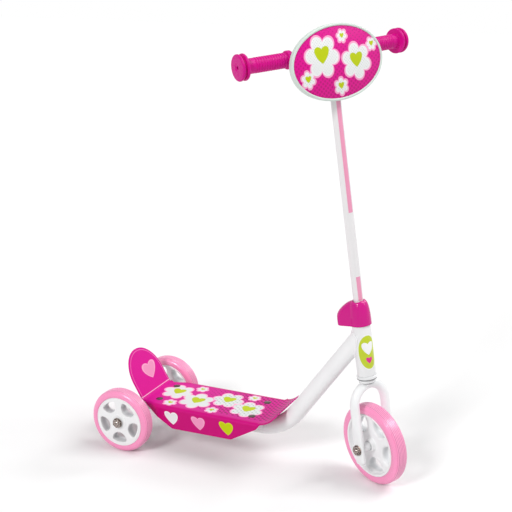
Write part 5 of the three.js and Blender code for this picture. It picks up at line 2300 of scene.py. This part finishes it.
@dataclass(frozen=True)
class Studio:
    """The white room round the scooter: its floor, light and picture settings."""

    sky: float = 0.34
    floor_shade: float = 0.9
    floor_bounce: float = 0.8
    floor_glow: float = 0.06
    floor_reach: float = 8.0
    suns: tuple[Sun, ...] = (
        Sun("side_light", 20.0, 56.0, 34.0, 1.42),
        Sun("front_light", -100.0, 36.0, 16.0, 1.35),
        Sun("back_light", 60.0, 33.0, 14.0, 0.45),
        Sun("right_spark", 23.0, 25.0, 7.0, 0.2),
        Sun("front_spark", -94.0, 21.0, 4.0, 0.12),
    )

    @staticmethod
    def looked_at(graph: Graph) -> Socket:
        """1 where the background is looked at, mirrored or seen through something clear.

        Args:
            graph: The finish's nodes.

        Returns:
            The mask.
        """
        path = graph.add("ShaderNodeLightPath").outputs
        mirrored = graph.math("MAXIMUM", path["Is Camera Ray"], path["Is Glossy Ray"])
        return graph.math("MAXIMUM", mirrored, path["Is Transmission Ray"])

    def world(self) -> None:
        """White where it is looked at, and a plain level light elsewhere."""
        world = bpy.data.worlds.new("studio")
        world.use_nodes = True
        world.node_tree.nodes.clear()
        graph = Graph(world.node_tree)
        strength = graph.math("MULTIPLY_ADD", self.looked_at(graph), 1.0 - self.sky, self.sky)
        sky = graph.made("ShaderNodeBackground", {"Color": PURE_WHITE, "Strength": strength})
        graph.add("ShaderNodeOutputWorld", {0: sky})
        bpy.context.scene.world = world

    def floor(self) -> None:
        """A plain white floor that only shows the soft shadow."""
        mesh = bpy.data.meshes.new("studio_floor")
        reach = self.floor_reach
        corners = [(x * reach, y * reach, 0) for x, y in ((-1, -1), (1, -1), (1, 1), (-1, 1))]
        mesh.from_pydata(corners, [], [(0, 1, 2, 3)])
        floor = linked("studio_floor", mesh)
        material = bpy.data.materials.new("studio_floor")
        material.use_nodes = True
        material.node_tree.nodes.clear()
        graph = Graph(material.node_tree)
        seen = self.looked_at(graph)
        tone = graph.mixed(seen, (self.floor_bounce,) * 3, (self.floor_shade,) * 3)
        shade = graph.made("ShaderNodeBsdfDiffuse", {"Color": tone})
        strength = graph.times(seen, self.floor_glow)
        glow = graph.made("ShaderNodeEmission", {"Color": PURE_WHITE, "Strength": strength})
        lifted = graph.made("ShaderNodeAddShader", {0: shade, 1: glow})
        graph.add("ShaderNodeOutputMaterial", {0: lifted})
        mesh.materials.append(material)

    def build(self) -> None:
        """Builds the studio."""
        self.world()
        self.floor()
        for sun in self.suns:
            sun.build()
        Camera().build()
        bpy.context.scene.view_settings.view_transform = "Standard"


# Finishes of this scooter


@dataclass(frozen=True)
class Spot:
    """A motif's place and size on the flat [x, y] of a print, and its turn in degrees."""

    x: float
    y: float
    size: float
    turn: float = 0.0


@dataclass(frozen=True)
class Heart:
    """A plain heart on the flat [x, y] of a print.

    Its width is for its size, its top leans to the right, and it may have a fine rim.
    """

    x: float
    y: float
    size: float
    colour: Colour
    width: float = 1.3
    lean: float = 0.0
    rim: Colour | None = None


WHITE = srgb(244, 245, 245)
LIME = srgb(192, 208, 4)
BLUSH = srgb(241, 152, 194)
OUTLINE = srgb(252, 172, 210)
MAGENTA = srgb(222, 0, 138)
SNOW = srgb(232, 234, 233)
LEMON = srgb(206, 226, 6)
NOTCH_DEPTH = 0.35


class Print:
    """Draws motifs over a plain colour, in the order in which they are called."""

    def __init__(self, graph: Graph, effects: Effects, point: Any, colour: Any) -> None:
        """Starts on a plain surface.

        Args:
            graph: The material's nodes.
            effects: The shared node groups.
            point: The flat point of the print, in millimetres.
            colour: The colour to print on.
        """
        self.graph, self.effects, self.point, self.colour = graph, effects, point, colour

    def over(self, mask: Any, colour: Any) -> None:
        """Lays a colour over the print where a mask is 1."""
        self.colour = self.graph.mixed(mask, self.colour, colour)

    def dots(self, radius: Any, colour: Colour, pitch: Pair, mask: Any = None) -> None:
        """Prints staggered dots.

        Args:
            radius: The dots' radius.
            colour: Their colour.
            pitch: How far apart they lie across and up.
            mask: Where they are printed, if not all over.
        """
        inputs = {"Point": self.point, "Pitch": pitch[0], "Rise": pitch[1], "Radius": radius}
        share = self.graph.group(self.effects.dots, **inputs)["Mask"]
        if mask is not None:
            share = self.graph.times(share, mask)
        self.over(share, colour)

    def hearts(self, hearts: Iterable[Heart]) -> None:
        """Prints plain hearts.

        Args:
            hearts: The hearts, the lowest first.
        """
        for heart in hearts:
            masks = self.graph.group(
                self.effects.heart,
                Point=self.point,
                Centre=(heart.x, heart.y, 0.0),
                Size=heart.size,
                Width=heart.width,
                Lean=heart.lean,
            )
            if heart.rim is not None:
                self.over(masks["Mask"], heart.rim)
            self.over(masks["Core" if heart.rim is not None else "Mask"], heart.colour)

    def flowers(
        self, spots: Iterable[Spot], outline: float, white: Colour, petals: float = 6.0
    ) -> Any:
        """Prints white round-petalled flowers with one pink outline round them all.

        Args:
            spots: The flowers.
            outline: The outline's width.
            white: The petals' colour.
            petals: How many petals each has.

        Returns:
            How far a point lies outside the flowers.
        """
        nearest = None
        for spot in spots:
            far = self.graph.group(
                self.effects.flower,
                Point=self.point,
                Centre=(spot.x, spot.y, 0.0),
                Radius=spot.size,
                Petals=petals,
                Depth=NOTCH_DEPTH,
                Turn=radians(spot.turn),
            )["Distance"]
            nearest = far if nearest is None else self.graph.math("MINIMUM", nearest, far)
        self.over(self.graph.within(nearest, outline, 0.4), OUTLINE)
        self.over(self.graph.within(nearest, 0.0, 0.4), white)
        return nearest

    def line(self, distance: Any, width: float, colour: Colour) -> None:
        """Prints a thin line where a distance is nought."""
        off = self.graph.math("ABSOLUTE", distance)
        self.over(self.graph.within(off, width / 2, 0.4), colour)


def wrapped(graph: Graph, point: Any) -> tuple[Any, Any, Any]:
    """The angle round a tube in degrees, its radius and the height along it.

    Args:
        graph: The finish's nodes.
        point: The point.

    Returns:
        The three values.
    """
    x, y, z = graph.split(point)
    angle = graph.times(graph.math("ARCTAN2", y, x), 180 / pi)
    return angle, graph.length(graph.joined(x, y)), z


@dataclass(frozen=True)
class RimOpeningShade(Paint):
    """A greyer tone deep in the rim's openings: painted shade where their walls lie in shadow."""

    middle: float = 3.6
    reach: float = 5.2
    blur: float = 5.5
    # The grey of the painted shade.
    colour: Colour = srgb(208, 210, 212)

    def __call__(self, graph: Graph, point: Any, colour: Colour) -> Any:
        """Paints shade deep in the openings."""
        _, height, _ = graph.split(point)
        away = graph.gap(height, self.middle)
        return graph.mixed(graph.within(away, self.reach, self.blur), colour, self.colour)


@dataclass(frozen=True)
class TyreToneAndGrooveShade(Paint):
    """Tone in the tyre: painted shade darkens it where its moulded lines run, and it is deeper on
    its flanks.
    """

    lines: tuple[float, ...] = (1.4, 4.4, 7.2, 9.7)
    half_line: float = 0.45
    strength: float = 0.85
    flank: float = 9.0
    groove_shade_colour: Colour = srgb(196, 96, 148)
    flank_colour: Colour = srgb(252, 148, 195)

    def __call__(self, graph: Graph, point: Any, colour: Colour) -> Any:
        """Paints shade into the grooves and deepens the flanks."""
        _, across, _ = graph.split(point)
        off = graph.math("ABSOLUTE", across)
        # Painted shade: a darker pink along each moulded groove.
        mask: Any = 0.0
        for line in self.lines:
            near = graph.within(graph.gap(off, line), self.half_line, 0.4)
            mask = graph.math("MAXIMUM", mask, near)
        groove_shaded = graph.mixed(graph.times(mask, self.strength), colour, self.groove_shade_colour)
        return graph.mixed(graph.within(off, self.flank, 2.0), self.flank_colour, groove_shaded)


@dataclass(frozen=True)
class StemPrint(Paint):
    """A pink stripe up the stem's front, with a bare stretch."""

    middle: float = -8.0
    half_width: float = 28.0
    bottom: float = 252.0
    top: float = 642.0
    bare_bottom: float = 292.0
    bare_top: float = 398.0
    colour: Colour = srgb(240, 153, 188)

    def __call__(self, graph: Graph, point: Any, colour: Colour) -> Any:
        """Prints the stripe."""
        angle, _, height = wrapped(graph, point)
        stripe = graph.within(graph.gap(angle, self.middle), self.half_width, 2.0)
        long = graph.between(height, self.bottom, self.top)
        bare = graph.between(height, self.bare_bottom, self.bare_top)
        stripe = graph.times(graph.times(stripe, long), graph.minus(1.0, bare))
        return graph.mixed(stripe, colour, self.colour)


@dataclass(frozen=True)
class HeadPrint(Paint):
    """A plain lime badge with two hearts on the head tube."""

    effects: Effects
    middle: float = -40.0
    height: float = 165.5
    half_height: float = 28.5
    half_width: float = 17.0
    radius: float = 15.6

    def __call__(self, graph: Graph, point: Any, colour: Colour) -> Any:
        """Prints the badge."""
        angle, _, height = wrapped(graph, point)
        across = graph.times(graph.minus(angle, self.middle), radians(self.radius))
        flat = graph.joined(across, graph.minus(height, self.height))
        x, y, _ = graph.split(flat)
        u, v = graph.math("DIVIDE", x, self.half_width), graph.math("DIVIDE", y, self.half_height)
        reach = graph.length(graph.joined(u, v))
        badge = Print(graph, self.effects, flat, colour)
        badge.over(graph.within(reach, 1.05, 0.03), WHITE)
        badge.over(graph.within(reach, 1.0, 0.03), LIME)
        badge.hearts([Heart(0.0, 4.5, 9.0, WHITE, 1.2), Heart(0.0, -15.0, 4.6, MAGENTA, 1.2)])
        return badge.colour


@dataclass(frozen=True)
class PanelPrint(Paint):
    """The front plate's print: magenta with darker dots, white flowers and light dots."""

    effects: Effects
    middle: float = 635.0
    dark: Colour = srgb(196, 0, 122)
    light: Colour = srgb(214, 222, 220)

    def __call__(self, graph: Graph, point: Any, colour: Colour) -> Any:
        """Prints the panel."""
        _, y, z = graph.split(point)
        flat = graph.joined(y, graph.minus(z, self.middle))
        _, up, _ = graph.split(flat)
        art = Print(graph, self.effects, flat, colour)
        radius = graph.math("MULTIPLY_ADD", up, -0.011, 1.55)
        art.dots(radius, self.dark, (8.5, 7.2))
        spots = (
            Spot(-30.0, 12.0, 32.0, 8.0),
            Spot(36.0, -3.0, 28.0, 20.0),
            Spot(-61.0, -19.0, 12.5, 20.0),
            Spot(1.0, -37.0, 12.5, 30.0),
            Spot(12.0, 38.0, 9.0, 10.0),
            Spot(69.0, 19.0, 9.5),
        )
        outside = art.flowers(spots, 3.0, WHITE)
        art.dots(0.95, self.light, (5.0, 5.0), graph.within(outside, -2.5, 0.4))
        art.hearts([Heart(spot.x, spot.y, spot.size * 0.34, LIME) for spot in spots])
        return art.colour


@dataclass(frozen=True)
class DeckPrintAndShade(Paint):
    """The deck's print: dots and flowers on its top, and hearts on its skirts and kick plate; its
    skirts, underside and the top's outer edges take a darker magenta as painted shade.
    """

    effects: Effects
    dark: Colour = srgb(136, 0, 78)
    fine: Colour = srgb(206, 4, 134)
    raised: Colour = srgb(232, 6, 160)
    crease_highlight: Colour = srgb(252, 214, 234)
    # The side magenta is darker than the top's: painted shade on the skirts and underside.
    side: Colour = srgb(200, 0, 117)
    light: Colour = srgb(186, 193, 191)
    pale: Colour = srgb(228, 231, 230)
    trim: Colour = srgb(240, 130, 190)
    pitch: Pair = (10.8, 9.0)
    edge_shade_start: float = 47.0
    edge_shade_share: float = 0.8
    kick_margin: float = 3.2
    kick_reach: float = 40.0
    speckle_start: float = 139.0

    def top(self, graph: Graph, x: Any, y: Any, colour: Any) -> Any:
        """Prints the flat top.

        Args:
            graph: The finish's nodes.
            x: The place along X.
            y: The place along Y.
            colour: The plain colour.

        Returns:
            The printed colour.
        """
        art = Print(graph, self.effects, graph.joined(x, y), colour)
        clear = graph.times(graph.math("ADD", y, 45.0), 0.25, clamp=True)
        swell = graph.math("MULTIPLY_ADD", x, 0.012, -1.15, clamp=True)
        art.dots(graph.math("MULTIPLY_ADD", swell, 1.75, 0.35), self.dark, self.pitch, clear)
        spots = (
            Spot(62.0, 9.0, 28.0, 10.0),
            Spot(113.0, -13.0, 30.0, 25.0),
            Spot(164.0, 12.0, 28.0),
            Spot(213.0, -10.0, 29.0, 15.0),
            Spot(98.0, 36.0, 10.0),
            Spot(72.0, -38.0, 11.0, 10.0),
            Spot(156.0, -37.0, 10.0, 20.0),
            Spot(204.0, 38.0, 10.0, 5.0),
        )
        inside = graph.within(art.flowers(spots, 3.0, self.pale), -2.0, 0.4)
        speckled = graph.times(inside, graph.math("GREATER_THAN", x, self.speckle_start))
        art.dots(1.6, self.light, self.pitch, speckled)
        art.hearts([Heart(spot.x, spot.y, spot.size * 0.33, LIME) for spot in spots])
        return art.colour

    def kick(self, graph: Graph, y: Any, z: Any, colour: Any) -> Any:
        """Prints the kick plate: fine dots, a thin line round its edge, a heart, and a painted
        highlight along the crease at its bend.

        Args:
            graph: The finish's nodes.
            y: The place along Y.
            z: The place along Z.
            colour: The kick plate's colour.

        Returns:
            The printed colour.
        """
        deck = Deck()
        rise = graph.math("DIVIDE", z, cos(radians(deck.kick_tilt_degrees)))
        art = Print(graph, self.effects, graph.joined(y, rise), colour)
        art.dots(0.75, self.fine, (2.8, 2.8))
        wide, tall = deck.kick_half_width - self.kick_margin, deck.kick_crown - self.kick_margin
        above = graph.math("MAXIMUM", graph.minus(rise, deck.kick_straight), 0.0)
        u, v = graph.math("DIVIDE", y, wide), graph.math("DIVIDE", above, tall)
        reach = graph.length(graph.joined(u, v))
        art.line(graph.times(graph.minus(reach, 1.0), wide), 0.9, self.trim)
        # A pale line just above the bend: a painted highlight along the crease.
        art.line(graph.minus(rise, 6.0), 1.1, self.crease_highlight)
        art.hearts([Heart(9.5, 38.5, 12.8, BLUSH, 1.62, 0.14, OUTLINE)])
        return art.colour

    def outside(self, graph: Graph, y: Any) -> Any:
        """1 on the sheet's upper and outer faces, which are printed, and 0 underneath, which takes
        the painted shade.

        Args:
            graph: The finish's nodes.
            y: The place along Y.

        Returns:
            The mask.
        """
        _, across, up = graph.split(graph.add("ShaderNodeNewGeometry").outputs["Normal"])
        out = graph.times(across, graph.math("SIGN", y))
        return graph.math("GREATER_THAN", graph.math("MAXIMUM", up, out), 0.1)

    def __call__(self, graph: Graph, point: Any, colour: Colour) -> Any:
        """Prints the deck and paints shade on its skirts, underside and the top's outer edges."""
        x, y, z = graph.split(point)
        # The skirts start from the darker side magenta, which is painted shade, and take printed
        # hearts.
        side = Print(graph, self.effects, graph.joined(x, z), self.side)
        hearts = (
            (86.9, -19.8, SNOW, WHITE),
            (141.4, -20.1, BLUSH, OUTLINE),
            (197.2, -19.2, LIME, LEMON),
        )
        side.hearts([Heart(u, v, 9.9, tone, 1.36, -0.22, rim) for u, v, tone, rim in hearts])
        raised = graph.math("GREATER_THAN", z, 3.0)
        behind = graph.times(raised, graph.math("LESS_THAN", x, self.kick_reach))
        # Painted shade: the top darkens into the side magenta towards its outer edges and down over
        # its folds.
        edge = graph.minus(graph.math("ABSOLUTE", y), self.edge_shade_start)
        edge = graph.times(graph.times(edge, 0.16, clamp=True), self.edge_shade_share)
        low = graph.math("MAXIMUM", graph.times(z, -0.4, clamp=True), edge)
        top, kick = self.top(graph, x, y, colour), self.kick(graph, y, z, self.raised)
        printed = graph.mixed(low, graph.mixed(behind, top, kick), side.colour)
        return graph.mixed(self.outside(graph, y), self.side, printed)


def palette(effects: Effects) -> Palette:
    """Builds every finish.

    Args:
        effects: The shared node groups.

    Returns:
        The finishes.
    """

    def finish(
        name: str,
        colour: tuple[int, int, int],
        roughness: float,
        paint: Paint | None = None,
        **values: Any,
    ) -> Material:
        """One finish, from a display colour."""
        return Finish(name, srgb(*colour), roughness, **values).shader(effects, paint)

    badge, panel, deck = HeadPrint(effects), PanelPrint(effects), DeckPrintAndShade(effects)
    coat = {"coat": 0.3, "grain": 1.0}
    steel = {"metallic": 1.0, "grain": 1.3, "bump": 0.08}
    zinc = {"metallic": 1.0, "grain": 0.6, "bump": 0.1}
    gloss = {"coat": 0.4, "specular": 0.1, "grain": 2.0, "bump": 0.01}
    # The bolts' dark steel colour is a painted dark reflection.
    magenta, dark, bright = (213, 4, 146), (112, 98, 92), (184, 174, 168)
    return Palette(
        tyre=finish("soft_pink_tyre_with_groove_shade", (250, 160, 200), 0.28, TyreToneAndGrooveShade(), coat=0.6, grain=0.5),
        # The white moulding carries painted shade deep in the rim's openings.
        moulding=finish("white_moulding", (243, 243, 244), 0.34, RimOpeningShade(), grain=1.2),
        plate=finish("pale_plate_moulding", (214, 227, 219), 0.35, grain=1.2, bump=0.04),
        paint=finish("white_powder_coat", (243, 243, 244), 0.34, bump=0.06, **coat),
        fork=finish("white_fork_coat", (243, 244, 245), 0.34, bump=0.06, **coat),
        bar=finish("white_bar_coat", (236, 236, 238), 0.3, **coat),
        head=finish("head_tube_coat", (236, 236, 237), 0.32, badge, **coat),
        stem=finish("striped_stem_coat", (236, 234, 235), 0.3, StemPrint(), **coat),
        deck=finish("printed_and_shaded_magenta_paint", magenta, 0.38, deck, specular=0.15, grain=1.0),
        cover=finish("glossy_magenta_moulding", (208, 0, 134), 0.2, **gloss),
        grip=finish("soft_magenta_grip", (212, 2, 138), 0.42, specular=0.2, grain=0.4, bump=0.1),
        panel=finish("printed_panel", (226, 0, 146), 0.4, panel, specular=0.25, grain=1.0),
        nylon=finish("grey_nylon", (205, 207, 208), 0.45, grain=0.6, bump=0.08),
        cup=finish("headset_cup_coat", (232, 233, 234), 0.3, **coat),
        # Dark grey for the thin rings under the headset: painted gap shade, partly a seal.
        dark_ring=finish("dark_headset_rings", (104, 106, 108), 0.4, grain=0.6),
        zinc=finish("zinc_plate_with_painted_reflections", (188, 186, 182), 0.3, fleck=srgb(112, 104, 98), **zinc),
        bolt=finish("dark_flecked_steel", dark, 0.16, fleck=srgb(44, 34, 32), **steel),
        nut=finish("bright_flecked_steel", bright, 0.16, fleck=srgb(72, 58, 52), **steel),
    )


def dress(frame: dict[str, Any], finishes: Palette) -> None:
    """Gives the CAD nodes that stay their finishes.

    Args:
        frame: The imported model.
        finishes: Every finish.
    """
    choices = {
        "deck_bracket_front": finishes.paint,
        "deck_bracket_rear": finishes.paint,
        "plate_clamp_left": finishes.moulding,
        "plate_clamp_right": finishes.moulding,
    }
    for name, node in frame["nodes"].items():
        finish = choices.get(name, finishes.zinc)
        node.data.materials.clear()
        node.data.materials.append(finish)
        if name in choices:
            kind, values = eased_edge(0.7 * MM, 2, 40)
            modify(node, kind, values)


def main() -> None:
    """Builds the scooter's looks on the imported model."""
    logging.basicConfig(level=logging.INFO, format="%(name)s: %(message)s")
    for item in list(bpy.data.objects):
        bpy.data.objects.remove(item)
    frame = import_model()
    effects = Effects()
    datum = Datum.from_joints(frame["joints"], Stance())
    shop = Workshop(datum, effects, palette(effects), Copies.build(), WeldBead.build())
    dress(frame, shop.palette)
    front = Wheel(70.0, 55.0, 17.0)
    rear = Wheel(58.0, 45.5, 18.0)
    front.build(shop, "front_wheel", datum.front)
    rear.build(shop, "rear_wheel_left", datum.rear_left)
    rear.build(shop, "rear_wheel_right", datum.rear_right)
    for part in (Frame(), Headset(), Cover(), Fork(), Bars(), Plate(), Deck(), Fasteners()):
        part.build(shop)
    Studio().build()


if __name__ == "__main__":
    main()
